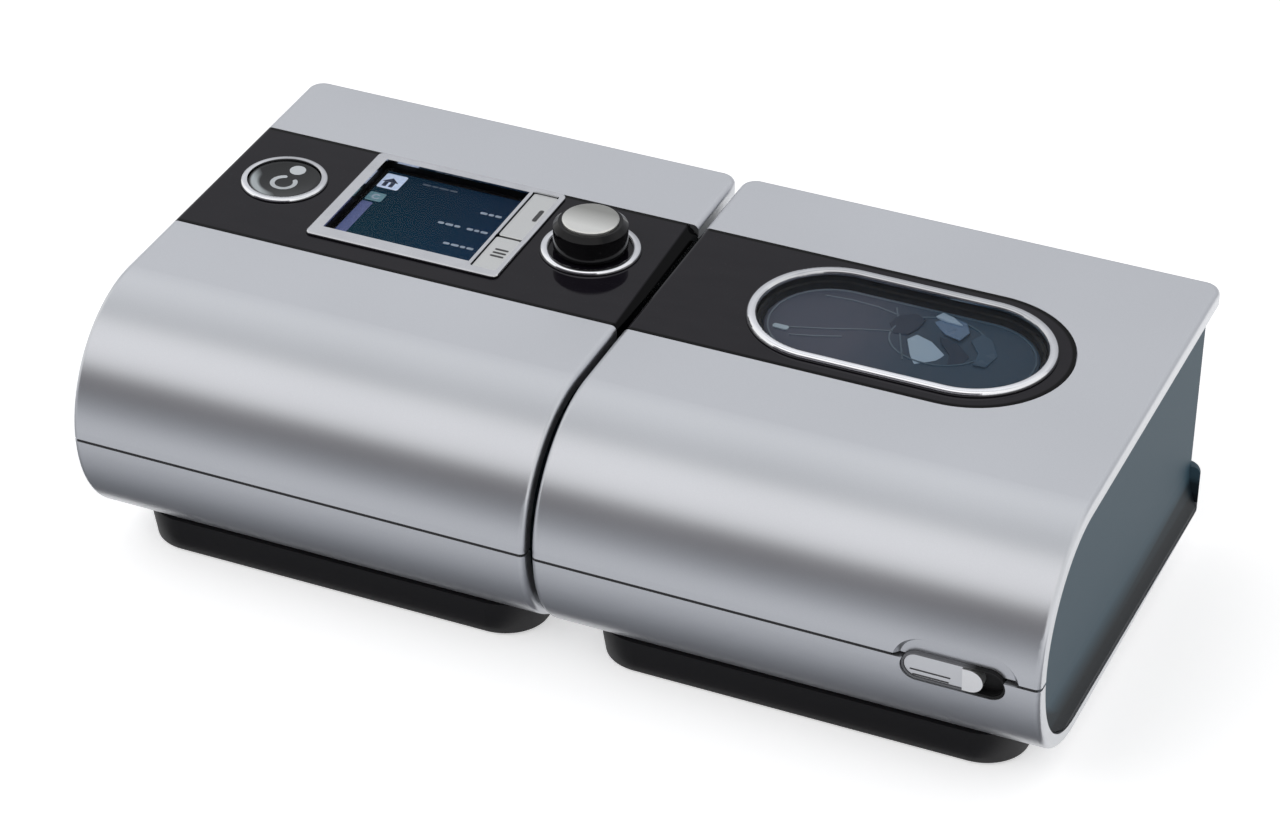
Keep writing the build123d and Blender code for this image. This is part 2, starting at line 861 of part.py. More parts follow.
def screen_key(y):
    """One of the two keys beside the display, over its share of the key opening."""
    middle = ((key_x[0] + key_x[1]) / 2, (y[0] + y[1]) / 2)
    with BuildPart() as key:
        add_top_block(
            (-button_skirt, key_rise),
            (key_x[0] + cap_gap, key_x[1] - cap_gap),
            (y[0] + cap_gap, y[1] - cap_gap),
            key_corner,
        )
        fillet(key.faces().sort_by(top_axis)[-1].edges(), key_edge)
        add_top_rod((-key_stem_end, -button_skirt), middle, key_stem_radius)
    return key.part


with BuildPart() as info_key:
    add(screen_key(info_key_y))
info_key.part.label = "info_key"
export_step(info_key.part, "parts/info_key.step")

with BuildPart() as setup_key:
    add(screen_key(setup_key_y))
setup_key.part.label = "setup_key"
export_step(setup_key.part, "parts/setup_key.step")

dial_place = (dial_x, dial_y)

with BuildPart() as dial_ring:
    add_top_rod((0, dial_ring_rise), dial_place, dial_ring_radius)
    add_top_rod(
        (-cut, dial_ring_rise + cut), dial_place, dial_ring_radius - dial_ring_width, Mode.SUBTRACT
    )
    fillet(dial_ring.faces().sort_by(top_axis)[-1].edges(), dial_ring_rise * 0.7)
dial_ring.part.label = "dial_ring"
export_step(dial_ring.part, "parts/dial_ring.step")

with BuildPart() as dial_knob:
    add_top_rod((dial_bottom, dial_top), dial_place, dial_radius)
    chamfer(dial_knob.faces().sort_by(top_axis)[-1].edges(), dial_shoulder)
    add_top_rod(
        (dial_bottom - cut, dial_top - dial_top_wall),
        dial_place,
        dial_radius - dial_skirt_wall,
        Mode.SUBTRACT,
    )
    add_top_rod((dial_bottom, dial_top - dial_cap_seat), dial_place, dial_hub_radius)
    add_top_rod(
        (dial_top - dial_cap_seat, dial_top + cut),
        dial_place,
        dial_cap_radius + running_gap,
        Mode.SUBTRACT,
    )
    add_top_rod(
        (dial_bottom - cut, shaft_top + running_gap),
        dial_place,
        shaft_radius + running_gap,
        Mode.SUBTRACT,
    )
dial_knob.part.label = "dial_knob"
export_step(dial_knob.part, "parts/dial_knob.step")

with BuildPart() as dial_cap:
    add_top_rod((dial_top - dial_cap_seat, dial_top + dial_cap_rise), dial_place, dial_cap_radius)
    fillet(dial_cap.faces().sort_by(top_axis)[-1].edges(), dial_cap_rise / 2)
dial_cap.part.label = "dial_cap"
export_step(dial_cap.part, "parts/dial_cap.step")

with BuildPart() as dial_shaft:
    add_top_rod((-shaft_bottom, shaft_top), dial_place, shaft_radius)
dial_shaft.part.label = "dial_shaft"
export_step(dial_shaft.part, "parts/dial_shaft.step")

with BuildPart() as encoder_plunger:
    add_top_rod((-shaft_bottom - plunger_floor, -plunger_top), dial_place, plunger_radius)
    add_top_rod(
        (-shaft_bottom - running_gap, cut), dial_place, shaft_radius + running_gap, Mode.SUBTRACT
    )
encoder_plunger.part.label = "encoder_plunger"
export_step(encoder_plunger.part, "parts/encoder_plunger.step")

with BuildPart() as dial_encoder:
    add_top_block(
        (-board_face, -encoder_face),
        (dial_x - encoder_size / 2, dial_x + encoder_size / 2),
        (dial_y - encoder_size / 2, dial_y + encoder_size / 2),
    )
    add_top_rod((-encoder_face, -bushing_top), dial_place, bushing_radius)
    add_top_rod(
        (-shaft_bottom - plunger_floor - dial_travel - press_gap, cut),
        dial_place,
        plunger_radius + running_gap,
        Mode.SUBTRACT,
    )
dial_encoder.part.label = "dial_encoder"
export_step(dial_encoder.part, "parts/dial_encoder.step")

with BuildPart() as control_board:
    add_top_block((-board_face - board_thickness, -board_face), board_x, board_y)
    for place in post_places:
        add_top_rod(
            (-board_face - 2 * board_thickness, 0), place, screw_radius + running_gap, Mode.SUBTRACT
        )
control_board.part.label = "control_board"
export_step(control_board.part, "parts/control_board.step")

key_middle_x = (key_x[0] + key_x[1]) / 2
switch_places = [
    (start_x, start_y),
    (key_middle_x, (info_key_y[0] + info_key_y[1]) / 2),
    (key_middle_x, (setup_key_y[0] + setup_key_y[1]) / 2),
]

with BuildPart() as tact_switches:
    for x, y in switch_places:
        add_top_block(
            (-board_face, switch_height - board_face),
            (x - switch_size / 2, x + switch_size / 2),
            (y - switch_size / 2, y + switch_size / 2),
        )
tact_switches.part.label = "tact_switches"
export_step(tact_switches.part, "parts/tact_switches.step")

with BuildPart() as board_screws:
    board_back = -board_face - board_thickness
    for place in post_places:
        add_top_rod((board_back - screw_head_height, board_back), place, screw_head_radius)
        add_top_rod((board_back, screw_bite - board_face), place, screw_radius)
board_screws.part.label = "board_screws"
export_step(board_screws.part, "parts/board_screws.step")

# ---------------------------------------------------------------- flow generator: plinth and chassis
with BuildPart() as flow_plinth:
    add(plinth(flow_casing, *flow_insets))
flow_plinth.part.label = "flow_plinth"
export_step(flow_plinth.part, "parts/flow_plinth.step")

with BuildPart() as flow_feet:
    for place in foot_places(*flow_insets):
        add_rod_z((0, foot_height + foot_recess), place, foot_radius - foot_gap)
flow_feet.part.label = "flow_feet"
export_step(flow_feet.part, "parts/flow_feet.step")

filter_x = (filter_middle_x - filter_size / 2, filter_middle_x + filter_size / 2)
filter_z = (filter_middle_z - filter_size / 2, filter_middle_z + filter_size / 2)
cover_x = (filter_x[0] - cover_margin, filter_x[1] + cover_margin)
cover_z = (filter_z[0] - cover_margin, filter_z[1] + cover_margin)
cover_hinge = (cover_x[0] - cover_hinge_radius - sliding_gap,
               chassis_back + cover_hinge_radius + sliding_gap)
cover_barrel_z = (filter_middle_z - cover_barrel / 2, filter_middle_z + cover_barrel / 2)
card_y = (chassis_back + card_proud - card_length, chassis_back + card_proud)
mount_places = [(blower_x + sx * blower_mount_spread, blower_y + sy * blower_mount_spread)
                for sx in (-1, 1) for sy in (-1, 1)]
housing_z = (air_z - blower_half_height, air_z + blower_half_height)
power_board_x = (
    blower_x + blower_mount_spread + blower_mount_radius + power_mount_gap,
    flow_inside[1] - power_board_gap,
)
transformer_x = (power_board_x[0] + power_board_x[1]) / 2
power_post_places = [(x, y) for x in (power_board_x[0] + post_radius, power_board_x[1] - post_radius)
                     for y in (power_board_y[0] + post_radius, power_board_y[1] - post_radius)]


def chassis_tray(left, right, inside):
    """The inner tray of a unit: side walls with the side outline, a floor and a back wall."""
    with BuildPart() as tray:
        add(side_block(left + side_recess, right - side_recess, chassis_inset, back_recess))
        add(
            side_block(inside[0], inside[1], chassis_inset + chassis_wall, back_recess + chassis_wall),
            mode=Mode.SUBTRACT,
        )
        add_box(
            inside,
            (front_y, chassis_back_inside),
            (chassis_front_top, height + cut),
            mode=Mode.SUBTRACT,
        )
        cut_ledge_notch(left, right)
    return tray.part


with BuildPart() as flow_chassis:
    add(chassis_tray(flow_left, flow_right, flow_inside))
    add(side_flare(flow_left, -1))
    add(back_lip(flow_casing, flow_left, flow_right))
    add_top_block(
        (-bevel_depth - shell_gap, cut),
        (flow_right - 2 * bevel - 2 * band_gap, flow_right),
        (band_front - 2 * band_gap, band_back + 2 * band_gap),
        mode=Mode.SUBTRACT,
    )
    # openings in the wall beside the humidifier
    add_rod_x(
        (flow_inside[1] - cut, flow_right), (air_y, air_z), air_tube_radius + sliding_gap, Mode.SUBTRACT
    )
    add_box(
        (flow_inside[1] - cut, flow_right),
        (plug_y - plug_width / 2 - cap_gap, plug_y + plug_width / 2 + cap_gap),
        (plug_z - plug_height / 2 - cap_gap, plug_z + plug_height / 2 + cap_gap),
        mode=Mode.SUBTRACT,
    )
    # openings in the back wall
    add_box(filter_x, (chassis_back_inside - cut, back_y), filter_z, mode=Mode.SUBTRACT)
    add_box(
        (inlet_x - inlet_width / 2 - cap_gap, inlet_x + inlet_width / 2 + cap_gap),
        (chassis_back_inside - cut, back_y),
        (inlet_z - inlet_height / 2 - cap_gap, inlet_z + inlet_height / 2 + cap_gap),
        mode=Mode.SUBTRACT,
    )
    add_box(
        (card_x - card_thickness / 2 - sliding_gap, card_x + card_thickness / 2 + sliding_gap),
        (chassis_back_inside - cut, back_y),
        (card_z - card_width / 2 - sliding_gap, card_z + card_width / 2 + sliding_gap),
        mode=Mode.SUBTRACT,
    )
    # posts for the blower and the power board
    for place in mount_places:
        add_rod_z((floor_top, housing_z[0] - blower_mount_height), place, blower_mount_radius)
    for place in power_post_places:
        add_rod_z((floor_top, power_board_z), place, post_radius)
    # tongues that the humidifier slides on to
    for y in tongue_places:
        add_box(
            (flow_inside[1], humidifier_left + tongue_reach),
            (y - tongue_width / 2, y + tongue_width / 2),
            (tongue_z, tongue_z + tongue_height),
        )
    # hinge lugs and moulded pin of the filter cover
    for z in (cover_barrel_z[0] - sliding_gap - cover_lug, cover_barrel_z[1] + sliding_gap):
        add_rod_z((z, z + cover_lug), cover_hinge, cover_hinge_radius)
        add_box(
            (cover_hinge[0] - cover_hinge_radius, cover_hinge[0] + cover_hinge_radius),
            (chassis_back, cover_hinge[1]),
            (z, z + cover_lug),
        )
    add_rod_z((cover_barrel_z[0] - cut, cover_barrel_z[1] + cut), cover_hinge, cover_pin_radius)
    # lugs of the cord clip
    for side in (-1, 1):
        lug_near = inlet_x + side * (clip_span / 2 + clip_wire + sliding_gap)
        lug_far = lug_near + side * clip_lug
        add_box(
            (min(lug_near, lug_far), max(lug_near, lug_far)),
            (chassis_back, clip_y + clip_lug / 2),
            (inlet_z - clip_lug / 2, inlet_z + clip_lug / 2),
        )
        add_rod_x(
            (min(lug_near, lug_far) - cut, max(lug_near, lug_far) + cut),
            (clip_y, inlet_z),
            clip_wire + running_gap,
            Mode.SUBTRACT,
        )
flow_chassis.part.label = "flow_chassis"
export_step(flow_chassis.part, "parts/flow_chassis.step")

# ---------------------------------------------------------------- flow generator: air path
stub_end = blower_x + stub_reach


def blower_housing():
    """The whole volute: a flat drum with its tangential outlet stub."""
    with BuildPart() as housing:
        add_rod_z(housing_z, (blower_x, blower_y), blower_radius)
        add_rod_x((blower_x, stub_end), (air_y, air_z), stub_radius)
        add_rod_z(
            (housing_z[0] + housing_wall, housing_z[1] - housing_wall),
            (blower_x, blower_y),
            blower_radius - housing_wall,
            Mode.SUBTRACT,
        )
        add_rod_x((blower_x, stub_end + cut), (air_y, air_z), air_bore, Mode.SUBTRACT)
        add_rod_z(
            (housing_z[0] - cut, air_z), (blower_x, blower_y), motor_shaft_radius + sliding_gap, Mode.SUBTRACT
        )
        add_rod_z((air_z, housing_z[1] + cut), (blower_x, blower_y), blower_eye, Mode.SUBTRACT)
    return housing.part


drum_x = (blower_x - blower_radius - cut, stub_end + cut)
drum_y = (blower_y - blower_radius - cut, blower_y + blower_radius + cut)
whole_housing = blower_housing()

with BuildPart() as blower_lower_housing:
    add(whole_housing)
    add_box(drum_x, drum_y, (housing_z[0] - cut, air_z), mode=Mode.INTERSECT)
blower_lower_housing.part.label = "blower_lower_housing"
export_step(blower_lower_housing.part, "parts/blower_lower_housing.step")

with BuildPart() as blower_upper_housing:
    add(whole_housing)
    add_box(drum_x, drum_y, (air_z, housing_z[1] + cut), mode=Mode.INTERSECT)
blower_upper_housing.part.label = "blower_upper_housing"
export_step(blower_upper_housing.part, "parts/blower_upper_housing.step")

impeller_z = housing_z[0] + housing_wall + impeller_gap
blade_length = impeller_radius - impeller_hub - blade_tip_gap
with BuildPart() as impeller:
    add_rod_z((impeller_z, impeller_z + impeller_disc), (blower_x, blower_y), impeller_radius)
    add_rod_z((impeller_z, impeller_z + impeller_hub_height), (blower_x, blower_y), impeller_hub)
    with Locations((blower_x, blower_y, impeller_z + impeller_disc + blade_height / 2)):
        with PolarLocations(impeller_hub + blade_length / 2, blade_count):
            Box(blade_length, blade_thickness, blade_height, rotation=(0, 0, blade_sweep))
    add_rod_z(
        (impeller_z - cut, impeller_z + impeller_hub_height + cut),
        (blower_x, blower_y),
        motor_shaft_radius,
        Mode.SUBTRACT,
    )
impeller.part.label = "impeller"
export_step(impeller.part, "parts/impeller.step")

motor_z = (housing_z[0] - motor_height, housing_z[0])
with BuildPart() as motor_can:
    add_rod_z(motor_z, (blower_x, blower_y), motor_radius)
    fillet(motor_can.edges().group_by(Axis.Z)[0], motor_edge)
    add_rod_z(
        (motor_z[0] + housing_wall, motor_z[1] + cut),
        (blower_x, blower_y),
        motor_shaft_radius + running_gap,
        Mode.SUBTRACT,
    )
motor_can.part.label = "motor_can"
export_step(motor_can.part, "parts/motor_can.step")

with BuildPart() as motor_shaft:
    add_rod_z(
        (motor_z[0] + housing_wall + running_gap, impeller_z + impeller_hub_height),
        (blower_x, blower_y),
        motor_shaft_radius,
    )
motor_shaft.part.label = "motor_shaft"
export_step(motor_shaft.part, "parts/motor_shaft.step")

with BuildPart() as blower_mounts:
    for place in mount_places:
        add_rod_z((housing_z[0] - blower_mount_height, housing_z[0]), place, blower_mount_radius)
blower_mounts.part.label = "blower_mounts"
export_step(blower_mounts.part, "parts/blower_mounts.step")

with BuildPart() as outlet_tube:
    add_rod_x((stub_end, humidifier_left + spigot_reach), (air_y, air_z), air_tube_radius)
    add_rod_x((stub_end - cuff_overlap, stub_end + cuff_wall), (air_y, air_z), stub_radius + cuff_wall)
    add_rod_x(
        (stub_end - cuff_overlap - cut, stub_end), (air_y, air_z), stub_radius + running_gap, Mode.SUBTRACT
    )
    add_rod_x(
        (stub_end - cut, humidifier_left + spigot_reach + cut), (air_y, air_z), air_bore, Mode.SUBTRACT
    )
outlet_tube.part.label = "outlet_tube"
export_step(outlet_tube.part, "parts/outlet_tube.step")

muffler_x = (flow_inside[0] + muffler_gap, inlet_x - inlet_width / 2 - muffler_inlet_gap)
muffler_y = (blower_y + blower_radius + muffler_gap, chassis_back_inside)
muffler_z = (floor_top, cover_z[1])
filter_seat = chassis_back - filter_thickness
with BuildPart() as inlet_muffler:
    add_box(muffler_x, muffler_y, muffler_z)
    add_box(
        (muffler_x[0] + muffler_wall, muffler_x[1] - muffler_wall),
        (muffler_y[0] + muffler_wall, filter_seat - muffler_wall),
        (muffler_z[0] + muffler_wall, muffler_z[1] - muffler_wall),
        mode=Mode.SUBTRACT,
    )
    add_box(filter_x, (filter_seat, muffler_y[1] + cut), filter_z, mode=Mode.SUBTRACT)
    add_box(
        (filter_x[0] + filter_lip, filter_x[1] - filter_lip),
        (filter_seat - 2 * muffler_wall, filter_seat + cut),
        (filter_z[0] + filter_lip, filter_z[1] - filter_lip),
        mode=Mode.SUBTRACT,
    )
    add_box(
        (blower_x - blower_eye, blower_x + blower_eye),
        (muffler_y[0] - cut, muffler_y[0] + 2 * muffler_wall),
        (muffler_z[1] - muffler_wall - muffler_mouth, muffler_z[1] - muffler_wall),
        mode=Mode.SUBTRACT,
    )
inlet_muffler.part.label = "inlet_muffler"
export_step(inlet_muffler.part, "parts/inlet_muffler.step")

with BuildPart() as air_filter:
    add_box(
        (filter_x[0] + cap_gap, filter_x[1] - cap_gap),
        (filter_seat, chassis_back),
        (filter_z[0] + cap_gap, filter_z[1] - cap_gap),
    )
air_filter.part.label = "air_filter"
export_step(air_filter.part, "parts/air_filter.step")

cover_y = (chassis_back + sliding_gap, chassis_back + sliding_gap + cover_thickness)
slot_pitch = filter_size / (louvre_count + 1)
with BuildPart() as filter_cover:
    add_box(cover_x, cover_y, cover_z)
    fillet(filter_cover.edges().filter_by(Axis.Y), cover_corner)
    add_box((cover_hinge[0], cover_x[0] + cover_margin), cover_y, cover_barrel_z)
    add_rod_z(cover_barrel_z, cover_hinge, cover_hinge_radius)
    for number in range(louvre_count):
        slot_z = filter_z[0] + slot_pitch * (number + 1)
        add_box(
            (filter_x[0] + filter_lip, filter_x[1] - filter_lip),
            (cover_y[0] - cut, cover_y[1] + cut),
            (slot_z - louvre_height / 2, slot_z + louvre_height / 2),
            mode=Mode.SUBTRACT,
        )
    add_rod_z(
        (cover_barrel_z[0] - cut, cover_barrel_z[1] + cut),
        cover_hinge,
        cover_pin_radius + running_gap,
        Mode.SUBTRACT,
    )
filter_cover.part.label = "filter_cover"
export_step(filter_cover.part, "parts/filter_cover.step")

# ---------------------------------------------------------------- flow generator: power, data card and dock
with BuildPart() as power_board:
    add_box(power_board_x, power_board_y, (power_board_z, power_board_z + board_thickness))
    board_top = power_board_z + board_thickness
    add_box(
        (transformer_x - transformer_width / 2, transformer_x + transformer_width / 2),
        (transformer_y - transformer_width / 2, transformer_y + transformer_width / 2),
        (board_top, board_top + transformer_height),
    )
    for y in capacitor_places:
        add_rod_z((board_top, board_top + capacitor_height), (transformer_x, y), capacitor_radius)
power_board.part.label = "power_board"
export_step(power_board.part, "parts/power_board.step")

inlet_mouth = chassis_back + inlet_flange
with BuildPart() as power_inlet:
    add_box(
        (inlet_x - inlet_width / 2, inlet_x + inlet_width / 2),
        (chassis_back - inlet_depth, chassis_back),
        (inlet_z - inlet_height / 2, inlet_z + inlet_height / 2),
    )
    add_box(
        (inlet_x - inlet_width / 2 - inlet_lip, inlet_x + inlet_width / 2 + inlet_lip),
        (chassis_back, inlet_mouth),
        (inlet_z - inlet_height / 2 - inlet_lip, inlet_z + inlet_height / 2 + inlet_lip),
    )
    fillet(power_inlet.edges().filter_by(Axis.Y).group_by(Axis.Z)[0], inlet_lip / 2)
    fillet(power_inlet.edges().filter_by(Axis.Y).group_by(Axis.Z)[-1], inlet_lip / 2)
    add_box(
        (inlet_x - inlet_width / 2 + inlet_wall, inlet_x + inlet_width / 2 - inlet_wall),
        (inlet_mouth - inlet_cavity, inlet_mouth + cut),
        (inlet_z - inlet_height / 2 + inlet_wall, inlet_z + inlet_height / 2 - inlet_wall),
        mode=Mode.SUBTRACT,
    )
    for x, z in ((-contact_pitch, -contact_drop), (0, contact_drop), (contact_pitch, -contact_drop)):
        add_box(
            (inlet_x + x - contact_width / 2, inlet_x + x + contact_width / 2),
            (inlet_mouth - inlet_cavity, inlet_mouth - inlet_cavity + contact_reach),
            (inlet_z + z - contact_height / 2, inlet_z + z + contact_height / 2),
        )
power_inlet.part.label = "power_inlet"
export_step(power_inlet.part, "parts/power_inlet.step")

clip_side = clip_span / 2
clip_end = clip_side + clip_wire + sliding_gap + clip_lug
with BuildPart() as cord_clip:
    with BuildLine() as clip_path:
        FilletPolyline(
            (inlet_x - clip_end, clip_y, inlet_z),
            (inlet_x - clip_side, clip_y, inlet_z),
            (inlet_x - clip_side, clip_y, inlet_z - clip_drop),
            (inlet_x + clip_side, clip_y, inlet_z - clip_drop),
            (inlet_x + clip_side, clip_y, inlet_z),
            (inlet_x + clip_end, clip_y, inlet_z),
            radius=clip_wire * 1.2,
        )
    with BuildSketch(Plane(origin=(inlet_x - clip_end, clip_y, inlet_z), z_dir=(1, 0, 0))) as wire:
        Circle(clip_wire)
    sweep()
cord_clip.part.label = "cord_clip"
export_step(cord_clip.part, "parts/cord_clip.step")

with BuildPart() as card_slot:
    add_box(
        (card_x - slot_wall - card_thickness / 2, card_x + slot_wall + card_thickness / 2),
        (card_y[0] - slot_wall, chassis_back_inside),
        (card_z - card_width / 2 - slot_wall, card_z + card_width / 2 + slot_wall),
    )
    add_box(
        (card_x - card_thickness / 2 - sliding_gap, card_x + card_thickness / 2 + sliding_gap),
        (card_y[0] - sliding_gap, chassis_back_inside + cut),
        (card_z - card_width / 2 - sliding_gap, card_z + card_width / 2 + sliding_gap),
        mode=Mode.SUBTRACT,
    )
card_slot.part.label = "card_slot"
export_step(card_slot.part, "parts/card_slot.step")

with BuildPart() as data_card:
    add_box(
        (card_x - card_thickness / 2, card_x + card_thickness / 2),
        card_y,
        (card_z - card_width / 2, card_z + card_width / 2),
    )
    chamfer(data_card.edges().filter_by(Axis.X).group_by(Axis.Y)[0].sort_by(Axis.Z)[-1], card_corner)
data_card.part.label = "data_card"
export_step(data_card.part, "parts/data_card.step")

with BuildPart() as dock_plug:
    add_box(
        (flow_inside[1] - plug_flange, flow_inside[1]),
        (plug_y - plug_width / 2 - plug_lip, plug_y + plug_width / 2 + plug_lip),
        (plug_z - plug_height / 2 - plug_lip, plug_z + plug_height / 2 + plug_lip),
    )
    add_box(
        (flow_inside[1], humidifier_left + plug_reach),
        (plug_y - plug_width / 2, plug_y + plug_width / 2),
        (plug_z - plug_height / 2, plug_z + plug_height / 2),
    )
dock_plug.part.label = "dock_plug"
export_step(dock_plug.part, "parts/dock_plug.step")

# ---------------------------------------------------------------- humidifier: lid
humidifier_casing = rounded_casing(humidifier_left, humidifier_right)
humidifier_shell = casing_shell(humidifier_casing, humidifier_left, humidifier_right)
window_collar = window_ring_radius - window_collar_step
window_bore = window_ring_radius - window_ring_width


def front_plane(x, z):
    """The plane that touches the rolled foot of the front at a height."""
    turn = asin((arc_z - z) / (lower_radius + base_drop))
    tilt = atan(tan(turn) * lower_radius / (lower_radius + base_drop))
    return Plane(
        origin=(x, front_y + lower_radius * (1 - cos(turn)), z),
        x_dir=(1, 0, 0),
        z_dir=(0, -cos(tilt), -sin(tilt)),
    )


latch_plane = front_plane(latch_x, latch_z)
barrel_places = (
    (humidifier_left + barrel_inset, humidifier_left + barrel_inset + barrel_length),
    (humidifier_right - barrel_inset - barrel_length, humidifier_right - barrel_inset),
)
lid_underside = height - (back_y - hinge_y) * tan(slope) - wall


def inlay_block(h, grow=0.0):
    """The round-ended block that the lid's black inlay fills, over a range of heights."""
    half = (band_back - band_front) / 2 + grow
    with BuildPart() as block:
        with BuildSketch(top_plane.offset(h[0])):
            with Locations(((humidifier_left - cut + window_right_x) / 2, window_y)):
                Rectangle(window_right_x - humidifier_left + cut, 2 * half)
            with Locations((window_right_x, window_y)):
                Circle(half)
        extrude(amount=h[1] - h[0])
    return block.part


def add_latch_slot(h, length, radius, shift=0.0, rise=0.0, mode=Mode.ADD):
    """A round-ended block square to the front at the latch, over a range of heights."""
    with BuildSketch(latch_plane.offset(h[0])) as outline:
        with Locations((shift, rise)):
            SlotOverall(length, 2 * radius)
    extrude(outline.sketch, amount=h[1] - h[0], mode=mode)


with BuildPart() as lid_ledge:
    add(inlay_block((-ledge_bottom, -band_thickness), ledge_overlap))
    add(humidifier_casing, mode=Mode.INTERSECT)

with BuildPart() as lid_scoop:
    with BuildSketch(front_plane(latch_x, latch_z + scoop_rise).offset(-scoop_depth)):
        with Locations((scoop_shift, 0)):
            scoop_step = scoop_depth * tan(radians(scoop_draft))
            SlotOverall(scoop_length - 2 * scoop_step, 2 * (scoop_radius - scoop_step))
    extrude(amount=scoop_depth + cut, taper=-scoop_draft)

with BuildPart() as humidifier_lid:
    add(humidifier_shell)
    add(keep_upper(humidifier_left, humidifier_right), mode=Mode.INTERSECT)
    add(inlay_block((-band_thickness, cut), band_gap), mode=Mode.SUBTRACT)
    add(lid_ledge.part)
    add_top_slot((-ledge_bottom - cut, 0), window_collar + cap_gap, Mode.SUBTRACT)
    add(lid_scoop.part, mode=Mode.SUBTRACT)
    add_latch_slot(
        (-pocket_back, cut), latch_length + 2 * latch_fit, latch_radius + latch_fit, mode=Mode.SUBTRACT
    )
    for barrel in barrel_places:
        add_rod_x(barrel, (hinge_y, hinge_z), barrel_radius)
        add_box(barrel, (hinge_y - barrel_web, hinge_y + barrel_web), (hinge_z, lid_underside + wall / 2))
        add_rod_x(
            (barrel[0] - cut, barrel[1] + cut),
            (hinge_y, hinge_z),
            hinge_pin_radius + running_gap,
            Mode.SUBTRACT,
        )
    hook_z = latch_z + pocket_flange + hook_height
    add_box(
        (latch_x + hook_place - hook_width / 2, latch_x + hook_place + hook_width / 2),
        (front_y + wall / 2, front_y + wall + hook_reach),
        (hook_z, hook_z + hook_height),
    )
    add_box(
        (latch_x + hook_place - hook_width / 2, latch_x + hook_place + hook_width / 2),
        (front_y + wall + hook_reach - hook_height, front_y + wall + hook_reach),
        (latch_z + hook_height, hook_z + hook_height),
    )
humidifier_lid.part.label = "humidifier_lid"
export_step(humidifier_lid.part, "parts/humidifier_lid.step")

with BuildPart() as lid_inlay:
    add(inlay_block((-band_thickness, cut)))
    add(humidifier_casing, mode=Mode.INTERSECT)
    add_top_slot((-band_thickness - cut, cut), window_collar + cap_gap, Mode.SUBTRACT)
lid_inlay.part.label = "lid_inlay"
export_step(lid_inlay.part, "parts/lid_inlay.step")

with BuildPart() as window_ring:
    add_top_slot((0, window_ring_rise), window_ring_radius)
    add_top_slot((-cut, window_ring_rise + cut), window_bore, Mode.SUBTRACT)
    fillet(window_ring.faces().sort_by(top_axis)[-1].edges(), window_ring_rise * 0.7)
    add_top_slot((-ledge_bottom, 0), window_collar)
    add_top_slot((-lens_seat, cut), window_bore, Mode.SUBTRACT)
    add_top_slot((-ledge_bottom - cut, cut), window_bore - lens_lip, Mode.SUBTRACT)
window_ring.part.label = "window_ring"
export_step(window_ring.part, "parts/window_ring.step")

with BuildPart() as window_lens:
    add_top_slot((-lens_seat, lens_thickness - lens_seat), window_bore - window_fit)
    fillet(window_lens.faces().sort_by(top_axis)[-1].edges(), lens_thickness / 3)
window_lens.part.label = "window_lens"
export_step(window_lens.part, "parts/window_lens.step")

liner_x = (humidifier_inside[0] + liner_inset, humidifier_inside[1] - liner_inset)
with BuildPart() as lid_liner:
    add_top_block((-liner_bottom, -wall), liner_x, liner_y)
    add_top_block(
        (-liner_top, -wall + cut),
        (liner_x[0] + liner_frame, liner_x[1] - liner_frame),
        (liner_y[0] + liner_frame, liner_y[1] - liner_frame),
        mode=Mode.SUBTRACT,
    )
    add(inlay_block((-ledge_bottom, 0), ledge_overlap + band_gap), mode=Mode.SUBTRACT)
    add_top_slot((-liner_bottom - cut, 0), window_bore - lens_lip, Mode.SUBTRACT)
lid_liner.part.label = "lid_liner"
export_step(lid_liner.part, "parts/lid_liner.step")

seal_x = (humidifier_inside[0] + seal_inset, humidifier_inside[1] - seal_inset)
with BuildPart() as lid_seal:
    add_box(seal_x, seal_y, (tub_top + cover_plate + sliding_gap, height))
    add_box(
        (seal_x[0] + seal_width, seal_x[1] - seal_width),
        (seal_y[0] + seal_width, seal_y[1] - seal_width),
        (tub_top, height + cut),
        mode=Mode.SUBTRACT,
    )
    add_top_block((-liner_bottom, height), seal_x, (front_y, back_y), mode=Mode.SUBTRACT)
lid_seal.part.label = "lid_seal"
export_step(lid_seal.part, "parts/lid_seal.step")

# ---------------------------------------------------------------- humidifier: casing
with BuildPart() as humidifier_lower_shell:
    add(humidifier_shell)
    add(keep_lower(humidifier_left, humidifier_right), mode=Mode.INTERSECT)
    add_latch_slot(
        (-pocket_back, cut), latch_length + 2 * latch_fit, latch_radius + latch_fit, mode=Mode.SUBTRACT
    )
humidifier_lower_shell.part.label = "humidifier_lower_shell"
export_step(humidifier_lower_shell.part, "parts/humidifier_lower_shell.step")

with BuildPart() as humidifier_plinth:
    add(plinth(humidifier_casing, *humidifier_insets))
humidifier_plinth.part.label = "humidifier_plinth"
export_step(humidifier_plinth.part, "parts/humidifier_plinth.step")

with BuildPart() as humidifier_feet:
    for place in foot_places(*humidifier_insets):
        add_rod_z((0, foot_height + foot_recess), place, foot_radius - foot_gap)
humidifier_feet.part.label = "humidifier_feet"
export_step(humidifier_feet.part, "parts/humidifier_feet.step")

bulkhead_back = bulkhead_front + bulkhead_thickness
niche_x = (outlet_x - niche_half, outlet_x + niche_half)
niche_z = (air_z - niche_half, air_z + niche_half)
wall_outside = humidifier_left + side_recess

with BuildPart() as tub_bay:
    add(side_block(humidifier_inside[0], humidifier_inside[1], chassis_inset + chassis_wall))
    add_box(humidifier_inside, (front_y, bulkhead_front), (0, height), mode=Mode.INTERSECT)

